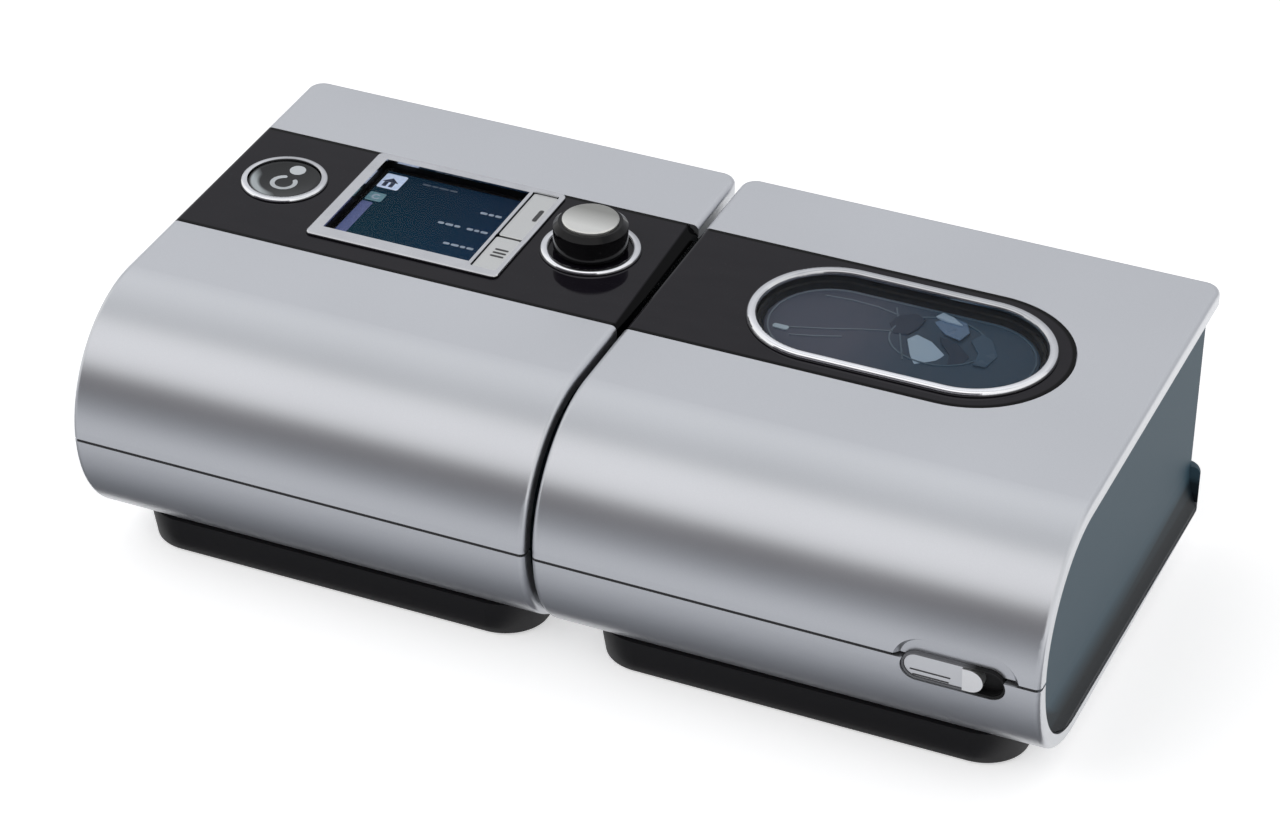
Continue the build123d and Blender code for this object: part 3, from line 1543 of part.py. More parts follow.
with BuildPart() as humidifier_chassis:
    add(side_block(wall_outside, humidifier_right - side_recess, chassis_inset, back_recess))
    add(tub_bay.part, mode=Mode.SUBTRACT)
    add_box(
        humidifier_inside, (front_y, bulkhead_front), (chassis_front_top, height + cut), mode=Mode.SUBTRACT
    )
    cut_ledge_notch(humidifier_left, humidifier_right)
    add(side_flare(humidifier_right, 1))
    add(back_lip(humidifier_casing, humidifier_left, humidifier_right))
    # the space behind the bulkhead, with the recess for the hose fitting
    add_box(
        humidifier_inside,
        (bulkhead_back, chassis_back_inside),
        (floor_top, deck_top - deck_thickness),
        mode=Mode.SUBTRACT,
    )
    add_box(
        (niche_x[0] - niche_wall, niche_x[1] + niche_wall),
        (bulkhead_back, chassis_back_inside),
        (niche_z[0] - niche_wall, niche_z[1] + niche_wall),
    )
    add_box(niche_x, (bulkhead_back, back_y), niche_z, mode=Mode.SUBTRACT)
    add_rod_y(
        (bulkhead_front - cut, bulkhead_back + cut),
        (outlet_x, air_z),
        outlet_collar_radius + running_gap,
        Mode.SUBTRACT,
    )
    # the deck under the lid's hinge, and the hinge's ears
    add_box(humidifier_inside, (bulkhead_front - cut, back_y), (deck_top, height + cut), mode=Mode.SUBTRACT)
    for barrel in barrel_places:
        for ear_left in (barrel[0] - sliding_gap - ear_width, barrel[1] + sliding_gap):
            ear = (ear_left, ear_left + ear_width)
            add_rod_x(ear, (hinge_y, hinge_z), barrel_radius)
            add_box(
                ear,
                (chassis_back - 2 * barrel_radius, chassis_back),
                (deck_top - deck_thickness / 2, hinge_z + barrel_radius / 2),
            )
            add_rod_x((ear[0] - cut, ear[1] + cut), (hinge_y, hinge_z), hinge_pin_radius, Mode.SUBTRACT)
    # openings in the wall beside the flow generator
    add_rod_x(
        (wall_outside - cut, humidifier_inside[0] + cut),
        (air_y, air_z),
        socket_radius + running_gap,
        Mode.SUBTRACT,
    )
    add_box(
        (wall_outside - cut, humidifier_inside[0] + cut),
        (plug_y - plug_width / 2 - sliding_gap, plug_y + plug_width / 2 + sliding_gap),
        (plug_z - plug_height / 2 - sliding_gap, plug_z + plug_height / 2 + sliding_gap),
        mode=Mode.SUBTRACT,
    )
    for y in tongue_places:
        add_box(
            (wall_outside - cut, humidifier_inside[0] + cut),
            (y - tongue_width / 2 - sliding_gap, y + tongue_width / 2 + sliding_gap),
            (tongue_z - sliding_gap, tongue_z + tongue_height + sliding_gap),
            mode=Mode.SUBTRACT,
        )
humidifier_chassis.part.label = "humidifier_chassis"
export_step(humidifier_chassis.part, "parts/humidifier_chassis.step")

with BuildPart() as hinge_pins:
    for barrel in barrel_places:
        pin_end = sliding_gap + ear_width
        add_rod_x((barrel[0] - pin_end, barrel[1] + pin_end), (hinge_y, hinge_z), hinge_pin_radius)
hinge_pins.part.label = "hinge_pins"
export_step(hinge_pins.part, "parts/hinge_pins.step")

# ---------------------------------------------------------------- humidifier: water tub and heater
tub_x = (humidifier_inside[0] + tub_left_gap, humidifier_inside[1] - tub_right_gap)
tub_back = bulkhead_front - tub_back_gap


def tub_block(z, inward=0.0):
    """A solid with the tub's outline, shrunk evenly, between two heights."""
    with BuildPart() as block:
        add(side_block(tub_x[0] + inward, tub_x[1] - inward, tub_inset + inward))
        add_box(tub_x, (front_y, tub_back - inward), z, mode=Mode.INTERSECT)
        fillet(block.edges().filter_by(Axis.Z).group_by(Axis.Y)[-1], tub_corner - inward)
    return block.part


heater_ranges = (
    (heater_x - heater_width / 2, heater_x + heater_width / 2),
    (heater_y - heater_length / 2, heater_y + heater_length / 2),
)


def heater_block(z, inward=0.0):
    """A rounded plate over the heater's outline, shrunk evenly, between two heights."""
    with BuildPart() as block:
        with BuildSketch(Plane.XY.offset(z[0])):
            with Locations((heater_x, heater_y)):
                RectangleRounded(heater_width - 2 * inward, heater_length - 2 * inward, heater_corner - inward)
        extrude(amount=z[1] - z[0])
    return block.part


tub_floor = tub_bottom + tub_wall
base_plate_top = tub_floor + base_plate_lip_thickness
with BuildPart() as tub_baffle:
    add(tub_block((base_plate_top, baffle_top), tub_wall / 2))
    add_box(
        (baffle_x, baffle_x + tub_wall), (front_y, baffle_back), (base_plate_top, baffle_top),
        mode=Mode.INTERSECT,
    )

with BuildPart() as water_tub:
    add(tub_block((tub_bottom, tub_top)))
    add(tub_block((tub_floor, tub_top + cut), tub_wall), mode=Mode.SUBTRACT)
    add(tub_baffle.part)
    add_rod_x((tub_x[0] - cut, tub_x[0] + 2 * tub_wall), (air_y, air_z), air_bore, Mode.SUBTRACT)
    add_rod_y(
        (tub_back - 2 * tub_wall, tub_back + cut), (outlet_x, air_z), outlet_bore, Mode.SUBTRACT
    )
    add(heater_block((tub_bottom - cut, tub_floor + cut), base_plate_step), mode=Mode.SUBTRACT)
water_tub.part.label = "water_tub"
export_step(water_tub.part, "parts/water_tub.step")

with BuildPart() as tub_base_plate:
    add(heater_block((tub_bottom, tub_floor), base_plate_step))
    add(heater_block((tub_floor, base_plate_top), base_plate_step - base_plate_lip))
tub_base_plate.part.label = "tub_base_plate"
export_step(tub_base_plate.part, "parts/tub_base_plate.step")

cover_top = tub_top + cover_plate
with BuildPart() as tub_cover:
    add(tub_block((tub_top, cover_top)))
    add_rod_z((cover_top, cover_top + cover_ring_rise), (window_x, window_y), cover_ring_radius)
    add_rod_z(
        (cover_top, cover_top + cover_ring_rise + cut),
        (window_x, window_y),
        cover_ring_radius - cover_ring_width,
        Mode.SUBTRACT,
    )
    rib_length = cover_ring_radius - cover_ring_width / 2
    with Locations((window_x, window_y, cover_top + rib_rise / 2)):
        with PolarLocations(rib_length / 2, rib_count, -rib_spread, rib_spread * rib_count):
            Box(rib_length, rib_width, rib_rise)
tub_cover.part.label = "tub_cover"
export_step(tub_cover.part, "parts/tub_cover.step")

with BuildPart() as heater_plate:
    add(heater_block((floor_top, floor_top + heater_thickness)))
heater_plate.part.label = "heater_plate"
export_step(heater_plate.part, "parts/heater_plate.step")

with BuildPart() as inlet_socket:
    add_rod_x((wall_outside, tub_x[0] - sliding_gap), (air_y, air_z), socket_radius)
    add_rod_x(
        (humidifier_inside[0], humidifier_inside[0] + socket_flange), (air_y, air_z), socket_flange_radius
    )
    add_rod_x(
        (wall_outside - cut, wall_outside + socket_depth),
        (air_y, air_z),
        air_tube_radius + sliding_gap,
        Mode.SUBTRACT,
    )
    add_rod_x((wall_outside - cut, tub_x[0] + cut), (air_y, air_z), air_bore, Mode.SUBTRACT)
inlet_socket.part.label = "inlet_socket"
export_step(inlet_socket.part, "parts/inlet_socket.step")

with BuildPart() as air_outlet:
    collar_end = bulkhead_back + sliding_gap
    add_rod_y((tub_back + sliding_gap, collar_end), (outlet_x, air_z), outlet_collar_radius)
    add_rod_y((collar_end, back_y), (outlet_x, air_z), outlet_radius)
    add_rod_y((bulkhead_front - outlet_flange, bulkhead_front), (outlet_x, air_z), outlet_flange_radius)
    add_rod_y((tub_back, back_y + cut), (outlet_x, air_z), outlet_bore, Mode.SUBTRACT)
air_outlet.part.label = "air_outlet"
export_step(air_outlet.part, "parts/air_outlet.step")

with BuildPart() as dock_socket:
    add_box(
        (humidifier_inside[0], humidifier_inside[0] + dock_socket_depth),
        (plug_y - plug_width / 2 - plug_lip, plug_y + plug_width / 2 + plug_lip),
        (plug_z - plug_height / 2 - plug_lip, plug_z + plug_height / 2 + plug_lip),
    )
    add_box(
        (humidifier_inside[0] - cut, humidifier_left + plug_reach + sliding_gap),
        (plug_y - plug_width / 2 - sliding_gap, plug_y + plug_width / 2 + sliding_gap),
        (plug_z - plug_height / 2 - sliding_gap, plug_z + plug_height / 2 + sliding_gap),
        mode=Mode.SUBTRACT,
    )
dock_socket.part.label = "dock_socket"
export_step(dock_socket.part, "parts/dock_socket.step")

# ---------------------------------------------------------------- humidifier: lid latch
slider_shift = slider_length / 2 - latch_length / 2 + pocket_wall + cap_gap
slider_radius = latch_radius - pocket_wall - cap_gap
slider_end = slider_shift + slider_length / 2
foot_range = (foot_place - slider_foot / 2, foot_place + slider_foot / 2)


def add_latch_block(h, x, y, mode=Mode.ADD):
    """A block square to the front at the latch, over ranges of height, x and y."""
    with BuildSketch(latch_plane.offset(h[0])) as outline:
        with Locations(((x[0] + x[1]) / 2, (y[0] + y[1]) / 2)):
            Rectangle(x[1] - x[0], y[1] - y[0])
    extrude(outline.sketch, amount=h[1] - h[0], mode=mode)


with BuildPart() as latch_pocket:
    add_latch_slot((-pocket_back, -pocket_sink), latch_length, latch_radius)
    add_latch_slot(
        (-pocket_back, -pocket_floor),
        latch_length + 2 * (pocket_flange - latch_radius),
        pocket_flange,
    )
    add_latch_slot(
        (-pocket_floor, cut), latch_length - 2 * pocket_wall, latch_radius - pocket_wall, mode=Mode.SUBTRACT
    )
    add_latch_block(
        (-pocket_back - cut, 0),
        (foot_range[0] - cap_gap, foot_range[1] + slider_travel + cap_gap),
        (-slider_foot_half - cap_gap, slider_foot_half + cap_gap),
        Mode.SUBTRACT,
    )
    add_latch_block(
        (-foot_reach, -pocket_back),
        (slider_lug_place - slider_lug, slider_lug_place),
        (-slider_foot_half, slider_foot_half),
    )
latch_pocket.part.label = "latch_pocket"
export_step(latch_pocket.part, "parts/latch_pocket.step")

with BuildPart() as latch_thumb:
    add_latch_slot((-slider_face, -thumb_face), slider_length, slider_radius, slider_shift)
    add_latch_block(
        (-slider_face, -thumb_face),
        (slider_end - thumb_length, slider_end),
        (-slider_radius, slider_radius),
        Mode.INTERSECT,
    )

with BuildPart() as latch_slider:
    add_latch_slot((-pocket_floor + press_gap, -slider_face), slider_length, slider_radius, slider_shift)
    add(latch_thumb.part)
    add_latch_block((-foot_reach, -pocket_floor + press_gap), foot_range, (-slider_foot_half, slider_foot_half))
latch_slider.part.label = "latch_slider"
export_step(latch_slider.part, "parts/latch_slider.step")

spring_start = latch_plane.from_local_coords((foot_range[1], 0, -spring_depth))
spring_length = slider_lug_place - slider_lug - foot_range[1]
with BuildPart() as latch_spring:
    with BuildLine() as coil:
        Helix(
            spring_pitch,
            spring_length - 2 * spring_wire - 2 * press_gap,
            spring_radius - spring_wire,
            center=tuple(spring_start + Vector(spring_wire + press_gap, 0, 0)),
            direction=(1, 0, 0),
        )
    with BuildSketch(Plane(origin=coil.line @ 0, z_dir=coil.line % 0)) as spring_section:
        Circle(spring_wire)
    sweep()
latch_spring.part.label = "latch_spring"
export_step(latch_spring.part, "parts/latch_spring.step")
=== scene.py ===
# %% [markdown]
# # Dressing a bedside breathing machine
#
# Two units stand side by side: a flow generator with a display and a dial, and a heated
# humidifier with a window in its lid. The solids come ready made, so this file does three jobs:
# it gives each part its finish, it adds the fine work that solids leave out (the picture on the
# display, the marks on the keys, the ribs under the window), and it lights the machine.
#
# Blender works in metres, and the origin is on the table under the middle of the machine. The
# machine's own sizes are written in millimetres below, and `MM` turns them into metres. The
# camera, the lamp and the cards round the machine are placed in metres. Both tops fall to the
# front by one slope, and `TOP_HEIGHT` is how high they are halfway between front and back.

import json
import math
from collections import namedtuple

import bmesh
import bpy
from mathutils import Matrix, Vector

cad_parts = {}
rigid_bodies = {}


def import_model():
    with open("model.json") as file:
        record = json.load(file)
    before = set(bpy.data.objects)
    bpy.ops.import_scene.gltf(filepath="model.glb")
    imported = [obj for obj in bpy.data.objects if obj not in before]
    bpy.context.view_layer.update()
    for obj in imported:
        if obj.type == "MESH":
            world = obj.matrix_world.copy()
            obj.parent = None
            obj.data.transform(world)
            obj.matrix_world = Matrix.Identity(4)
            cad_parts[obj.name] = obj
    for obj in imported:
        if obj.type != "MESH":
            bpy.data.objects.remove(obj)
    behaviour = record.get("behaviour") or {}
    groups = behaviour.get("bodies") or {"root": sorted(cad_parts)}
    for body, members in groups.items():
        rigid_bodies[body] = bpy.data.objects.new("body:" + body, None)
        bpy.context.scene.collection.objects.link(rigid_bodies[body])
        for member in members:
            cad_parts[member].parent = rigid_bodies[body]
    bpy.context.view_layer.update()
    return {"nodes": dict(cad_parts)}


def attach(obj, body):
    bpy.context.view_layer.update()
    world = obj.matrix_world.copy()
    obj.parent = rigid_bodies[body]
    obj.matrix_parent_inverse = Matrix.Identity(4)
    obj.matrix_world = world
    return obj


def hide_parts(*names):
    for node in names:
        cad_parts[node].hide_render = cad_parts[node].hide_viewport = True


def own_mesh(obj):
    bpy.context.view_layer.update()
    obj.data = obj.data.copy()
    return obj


for leftover in list(bpy.data.objects):
    bpy.data.objects.remove(leftover)

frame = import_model()
MM = 0.001
TOP_SLOPE = math.radians(2.03)
TOP_HEIGHT = 83.288

# %% [markdown]
# ## Writing a finish as arithmetic
#
# A finish is a graph of small nodes. Drawn by hand it is a tangle of wires, so the graph is
# written here the way one writes sums. `Signal` stands for one output of a node, and the plain
# operators on it add Math nodes. An operator has its mirrored form too where a number may come
# first, so that `1 - mask` works as well as `mask - 1`.

# %% Signals
class Signal:
    """One output of a node, which arithmetic turns into Math nodes."""

    def __init__(self, graph, output):
        self.graph = graph
        self.output = output

    def math(self, operation, first, second):
        return self.graph.node("ShaderNodeMath", {"operation": operation}, {0: first, 1: second})

    def __add__(self, other):
        return self.math("ADD", self, other)

    def __radd__(self, other):
        return self.math("ADD", other, self)

    def __sub__(self, other):
        return self.math("SUBTRACT", self, other)

    def __rsub__(self, other):
        return self.math("SUBTRACT", other, self)

    def __mul__(self, other):
        return self.math("MULTIPLY", self, other)

    def __rmul__(self, other):
        return self.math("MULTIPLY", other, self)

    def __gt__(self, other):
        return self.math("GREATER_THAN", self, other)

    def __lt__(self, other):
        return self.math("LESS_THAN", self, other)

    def least(self, other):
        """The smaller of two values."""
        return self.math("MINIMUM", self, other)

    def most(self, other):
        """The larger of two values."""
        return self.math("MAXIMUM", self, other)

    def root(self):
        """The square root."""
        return self.math("SQRT", self, 0.0)


print("signals ready")

# %% [markdown]
# ## Graphs
#
# A `Graph` is a whole tree of nodes. Its `node` method makes every kind of node that arithmetic
# doesn't: it takes the node's type, then its settings, then the values or links of its sockets.
# A ramp and a blend of two colours are used so often that each gets a short name.

# %% Graphs
class Graph:
    """A tree of nodes, for a material or for the world."""

    def __init__(self, tree):
        self.tree = tree

    def node(self, kind, settings=None, sockets=None, output=0):
        made = self.tree.nodes.new(kind)
        for name, value in (settings or {}).items():
            if name == "stops":
                self.set_stops(made.color_ramp, value)
            else:
                setattr(made, name, value)
        for name, value in (sockets or {}).items():
            self.plug(made.inputs[name], value)
        return Signal(self, made.outputs[output])

    def set_stops(self, ramp, stops):
        ramp.elements[0].position, ramp.elements[0].color = stops[0]
        ramp.elements[1].position, ramp.elements[1].color = stops[-1]
        for place, colour in stops[1:-1]:
            ramp.elements.new(place).color = colour

    def plug(self, socket, value):
        if isinstance(value, Signal):
            self.tree.links.new(value.output, socket)
        else:
            socket.default_value = value

    def ramp(self, value, start, end):
        """0 up to the start, 1 from the end on and an even rise between them."""
        return self.node(
            "ShaderNodeMapRange", sockets={"Value": value, "From Min": start, "From Max": end}
        )

    def blend(self, share, first, second):
        """A colour between two others: the first where the share is 0, the second where it is 1."""
        return self.node(
            "ShaderNodeMix", {"data_type": "RGBA"}, {0: share, 6: first, 7: second}, output=2
        )


print("graphs ready")

# %% [markdown]
# ## Finishes
#
# A `Finish` is the graph of one material. What is the same all over a surface goes straight
# onto the shader's sockets when the finish is made, and `feed` connects what changes from place
# to place. The other methods say where a point of the surface is, in millimetres, and make soft
# random values and fine relief.

# %% Finishes
class Finish(Graph):
    """A material in the making. Its plain numbers go straight onto the shader's own sockets."""

    def __init__(self, name, **plain):
        self.material = bpy.data.materials.new(name)
        self.material.use_nodes = True
        super().__init__(self.material.node_tree)
        self.shader = self.tree.nodes["Principled BSDF"]
        for socket, value in plain.items():
            self.shader.inputs[socket.replace("_", " ")].default_value = value

    def feed(self, **varying):
        """Connects what changes over the surface."""
        for socket, value in varying.items():
            self.plug(self.shader.inputs[socket.replace("_", " ")], value)

    def place(self):
        """Where a point is on the machine, in metres."""
        return self.node("ShaderNodeTexCoord", output="Object")

    def along(self, axis):
        """How far a point is along X, Y or Z."""
        return self.node("ShaderNodeSeparateXYZ", sockets={0: self.place()}, output=axis) * (1 / MM)

    def over_top(self):
        """How far a point is above the machine's sloped top."""
        rise = (self.along("Z") - TOP_HEIGHT) * math.cos(TOP_SLOPE)
        return rise - self.along("Y") * math.sin(TOP_SLOPE)

    def reach(self, centre, half_length=0.0):
        """How far a point is from a centre, or from a line along X with its middle there."""
        across = self.along("X") - centre[0]
        beyond = (across.most(0.0 - across) - half_length).most(0.0)
        aside = self.along("Y") - centre[1]
        return (beyond * beyond + aside * aside).root()

    def noise(self, size_mm, detail=2.0, stretch=(1, 1, 1)):
        """Soft random values from 0 to 1, with features of about that size."""
        where = self.node(
            "ShaderNodeMapping", sockets={"Vector": self.place(), "Scale": stretch}
        )
        return self.node(
            "ShaderNodeTexNoise",
            sockets={"Vector": where, "Scale": 1 / (size_mm * MM), "Detail": detail},
        )

    def bump(self, height, depth_mm, strength=1.0, under=None):
        """A surface raised by height, which runs from 0 to 1 over that depth."""
        sockets = {"Height": height, "Distance": depth_mm * MM, "Strength": strength}
        if under is not None:
            sockets["Normal"] = under
        return self.node("ShaderNodeBump", sockets=sockets)


print("finishes can be made")

# %% [markdown]
# ## Colours as a screen shows them
#
# A shader counts light, and a screen's numbers are spaced for the eye, so a colour that is
# picked by its screen values has to be converted. Most finishes here vary between a darker and
# a lighter shade of one colour, and `shade` gives those.

# %% Colours
def rgb(red, green, blue):
    """A colour from its values on screen, 0 to 255, as the linear light that shaders use."""
    def linear(value):
        value = value / 255
        return value / 12.92 if value <= 0.04045 else ((value + 0.055) / 1.055) ** 2.4

    return (linear(red), linear(green), linear(blue), 1.0)


def shade(colour, step):
    """A colour with each of its values on screen moved by a step, and none below 0."""
    return rgb(*(max(value + step, 0) for value in colour))


print("middle grey is", round(rgb(128, 128, 128)[0], 3))

# %% [markdown]
# ## Silver paint
#
# The casings are moulded plastic under silver lacquer. The lacquer holds fine aluminium flakes,
# so it mirrors its surroundings softly: mostly metallic, with a roughness near a third. The
# flakes show as a faint sparkle, and the lacquer's skin is never quite flat. Painted shade makes
# the dial's cap darker to the back, and a painted highlight makes the latch's thumb rest whiter
# than the rest of its slider.

# %% Silver paint
Fade = namedtuple("Fade", "axis start end tone")


def silver_paint(name, tone, painted_light=None):
    """Silver lacquer. Painted light gives it another tone before a place along an axis."""
    finish = Finish(name, Metallic=0.92, Coat_Weight=0.12, Coat_Roughness=0.18)
    flakes = finish.noise(0.35, detail=3.0)
    clouds = finish.noise(60.0, detail=1.0)
    share = (flakes - 0.5) * 0.5 + (clouds - 0.5) * 0.5 + 0.5
    paint = finish.blend(share, shade(tone, -9), shade(tone, 7))
    # Painted light: painted shade or a painted highlight, as another tone before that place.
    if painted_light:
        painted_share = finish.ramp(finish.along(painted_light.axis), painted_light.start, painted_light.end)
        paint = finish.blend(painted_share, rgb(*painted_light.tone), paint)
    finish.feed(
        Base_Color=paint,
        Roughness=0.27 + flakes * 0.06 + clouds * 0.03,
        Normal=finish.bump(flakes, 0.004, 0.35, finish.bump(finish.noise(2.4), 0.004, 0.2)),
    )
    return finish.material


casing_silver = silver_paint("casing_silver", (203, 205, 209))
key_silver = silver_paint("key_silver", (206, 207, 206))
# Painted shade darkens the cap to the back; a painted highlight whitens the latch's thumb rest.
cap_silver = silver_paint("cap_silver", (222, 222, 218), Fade("Y", 24.0, 15.0, (150, 150, 146)))
latch_silver_highlit = silver_paint("latch_silver_highlit", (251, 251, 251), Fade("X", 123.0, 123.4, (228, 229, 231)))
print("silver paints", casing_silver.name, key_silver.name, cap_silver.name, latch_silver_highlit.name)

# %% [markdown]
# ## Polished black
#
# The band across the tops, the dial and the start button are polished: they mirror what stands
# round them. Their gloss is in a low roughness, and their depth in a nearly black colour.
#
# The band has painted shade along its border, dead black, and its bevel is painted dead black
# too: there a black metal stands in, which has no clear skin to shine. The band is an oblong that
# runs off the machine at the left, so its border is found by arithmetic: half its width, less how
# far a point is from its middle line. The start button is hollow, and the crescent of light that
# its hollow gathers at its front left is a painted highlight. The crescent is where three ramps
# overlap: two over the distance from its centre, and one towards that corner.

# %% Polished black
BAND_MIDDLE, BAND_HALF_LENGTH, BAND_HALF_WIDTH = (-54.8, 14.9), 145.2, 29.3
START_BUTTON = (-125.5, 18.2)
TO_FRONT_LEFT = (-0.74, -0.67)
SHADED_BORDER, BEVEL = (0.9, 1.4), (-0.4, -0.1)
CRESCENT_INNER, CRESCENT_OUTER, CRESCENT_CORNER = (7.2, 8.2), (10.3, 9.7), (5.0, 8.4)


def polished_black(name, colour, roughness, mirror):
    """A glossy black, given back with its tone so that another can be blended into it."""
    finish = Finish(name, Specular_IOR_Level=mirror)
    smears = finish.noise(14.0, detail=3.0, stretch=(1, 2.5, 1))
    dust = finish.noise(0.5, detail=1.0) > 0.74
    tone = finish.blend(dust * 0.1 + smears * 0.06, rgb(*colour), rgb(96, 94, 98))
    finish.feed(
        Base_Color=tone,
        Roughness=roughness + smears * 0.035 + dust * 0.05,
        Normal=finish.bump(finish.noise(9.0), 0.004, 0.12),
    )
    return finish, tone


def band_plastic(name):
    """The band's black, with painted shade: dead black along its border and on its bevel."""
    finish, tone = polished_black(name, (15, 12, 20), roughness=0.05, mirror=0.14)
    from_border = BAND_HALF_WIDTH - finish.reach(BAND_MIDDLE, BAND_HALF_LENGTH)
    # Painted shade: the border and the bevel are dead black.
    polished = finish.ramp(from_border, *SHADED_BORDER) * finish.ramp(finish.over_top(), *BEVEL)
    finish.feed(Base_Color=finish.blend(polished, rgb(2, 2, 2), tone), Metallic=1.0 - polished)
    return finish.material


def black_with_painted_crescent(name):
    """The start button's black, with a painted highlight: the crescent of light its hollow gathers."""
    finish, tone = polished_black(name, (14, 17, 18), roughness=0.08, mirror=0.25)
    across = (finish.along("X") - START_BUTTON[0]) * TO_FRONT_LEFT[0]
    to_corner = across + (finish.along("Y") - START_BUTTON[1]) * TO_FRONT_LEFT[1]
    out = finish.reach(START_BUTTON)
    between = finish.ramp(out, *CRESCENT_INNER) * finish.ramp(out, *CRESCENT_OUTER)
    # Painted highlight: a pale crescent at the front left of the hollow.
    lit = between * finish.ramp(to_corner, *CRESCENT_CORNER)
    finish.feed(Base_Color=finish.blend(lit, tone, rgb(178, 186, 190)))
    return finish.material


band_black = band_plastic("band_black")
button_black = black_with_painted_crescent("button_black")
dial_black = polished_black("dial_black", (5, 5, 6), roughness=0.06, mirror=0.2)[0].material
print("polished blacks", band_black.name, button_black.name, dial_black.name)

# %% [markdown]
# ## The side panels
#
# The inner casings are a blue-grey plastic with a fine grain, and their sides show as panels
# inside the silver. Each panel is in shadow along the silver's edge, and in the flare at its
# foot. Light that comes from all round leaves such narrow shadows too weak, so they are blended
# into the colour. The first follows the side's outline, which is round at the front. How far a
# point is inside it comes from the point's distance to the roll's middle at the front, and to a
# line that rises with the top behind that.

# %% Side panels
ROLL_RADIUS, ROLL_Y, ROLL_Z = 36.3, -40.2, 45.0
EDGE_SHADOW = (10.0, 7.8)
FLARE_SHADOW = (23.5, 16.5)


def slate_plastic(name):
    """The side panels' blue-grey, with a shadow near the silver's edge and one at the foot."""
    finish = Finish(name, Specular_IOR_Level=0.15)
    grain = finish.noise(0.35, detail=4.0)
    behind_roll = finish.along("Y") - ROLL_Y
    rise = finish.along("Z") - ROLL_Z - behind_roll.most(0.0) * math.tan(TOP_SLOPE)
    ahead = behind_roll.least(0.0)
    inset = ROLL_RADIUS - (ahead * ahead + rise * rise).root()
    at_edge = finish.ramp(inset, *EDGE_SHADOW) * 0.8
    at_foot = finish.ramp(finish.along("Z"), *FLARE_SHADOW) * 0.95
    tone = finish.blend(grain * 0.3, rgb(56, 79, 92), rgb(72, 94, 106))
    finish.feed(
        Base_Color=finish.blend(at_edge.most(at_foot), tone, rgb(10, 15, 20)),
        Roughness=0.46 + grain * 0.08,
        Normal=finish.bump(grain, 0.02, 0.5),
    )
    return finish.material


panel_slate = slate_plastic("panel_slate")
print("side panels", panel_slate.name)

# %% [markdown]
# ## Moulded plastics
#
# The plinths, the ports, the card and what lies inside come straight from an etched mould, so
# they are rough, and a fine grain breaks up the light. The latch's pocket is one of them: it is
# black where the slider goes, and painted light makes it grey where the slider rests.

# %% Moulded plastics
def moulded(name, colour, grain_mm=0.4, roughness=0.5, depth_mm=0.02, variation=8):
    finish = Finish(name)
    grain = finish.noise(grain_mm, detail=4.0)
    patches = finish.noise(25.0, detail=2.0)
    share = grain * 0.5 + patches * 0.5
    finish.feed(
        Base_Color=finish.blend(share, shade(colour, -variation), shade(colour, variation)),
        Roughness=roughness - 0.06 + grain * 0.08 + patches * 0.06,
        Normal=finish.bump(grain, depth_mm, 0.5),
    )
    return finish.material


def pocket_plastic(name):
    """The latch's black pocket, with painted light that makes it grey where the slider rests."""
    finish = Finish(name, Specular_IOR_Level=0.2)
    grain = finish.noise(0.5, detail=3.0)
    # Painted light: grey where the slider rests, black beyond.
    slid = finish.ramp(finish.along("X"), 123.0, 127.0)
    tone = finish.blend(slid, rgb(104, 105, 109), rgb(9, 9, 10))
    finish.feed(
        Base_Color=finish.blend(grain * 0.08, tone, rgb(120, 120, 122)),
        Roughness=0.45 + grain * 0.1,
        Normal=finish.bump(grain, 0.01, 0.5),
    )
    return finish.material


plinth_black = moulded("plinth_black", (18, 17, 20), roughness=0.6, variation=4)
liner_black = moulded("liner_black", (26, 29, 36), roughness=0.35, variation=5)
rubber_black = moulded("rubber_black", (36, 36, 38), grain_mm=0.7, roughness=0.8, depth_mm=0.03)
component_black = moulded("component_black", (38, 38, 40), grain_mm=0.5, roughness=0.6)
moulding_grey = moulded("moulding_grey", (196, 199, 202), 0.5, 0.42, depth_mm=0.015, variation=5)
card_blue = moulded("card_blue", (48, 68, 112), 0.5, 0.45, depth_mm=0.015, variation=6)
pocket_black = pocket_plastic("pocket_black")
print("moulded plastics", plinth_black.name, moulding_grey.name, pocket_black.name)

# %% [markdown]
# ## Metals
#
# Bright chrome is a mirror with a little haze, brushed steel is a mirror with fine parallel
# scratches, and the heater's metal is duller. The scratches are noise stretched along one
# direction.
#
# The trims are plated plastic, and just above the panel the plating gives way to painted shade:
# the sides of their openings are black. One comparison with the height above the top makes that
# border. The black down there counts as half metal, which takes away half of its shine.
#
# The rings are crowned: a bump that falls off to both sides of a ring's middle line lets it
# mirror more of the room, and painted light makes its plating brighter to the front.

# %% Metals
Crown = namedtuple("Crown", "centre half_length middle half_width rise")


def trim_chrome(name, shaded_below, tones, crown=None):
    """Chrome above a height over the sloped top, and black below it as painted shade."""
    finish = Finish(name)
    haze = finish.noise(6.0, detail=4.0)
    # Painted shade: black below that height, on the sides of the openings.
    shaded_sides = finish.over_top() < shaded_below
    relief = finish.bump(finish.noise(3.0), 0.004, 0.12)
    share = haze
    if crown:
        out = finish.reach(crown.centre, crown.half_length) - crown.middle
        aside = out * (1 / crown.half_width)
        relief = finish.bump(1.0 - aside * aside, crown.rise, 1.0, relief)
        back, front = crown.centre[1] + crown.middle, crown.centre[1] - crown.middle
        # Painted light: the plating is brighter to the front of the ring.
        share = haze * 0.3 + finish.ramp(finish.along("Y"), back, front) * 0.8
    plating = finish.blend(share, *(rgb(tone, tone + 1, tone + 4) for tone in tones))
    finish.feed(
        Base_Color=finish.blend(shaded_sides, plating, rgb(8, 8, 10)),
        Metallic=1.0 - shaded_sides * 0.5,
        Roughness=0.07 + haze * 0.06 + shaded_sides * 0.3,
        Normal=relief,
    )
    return finish.material


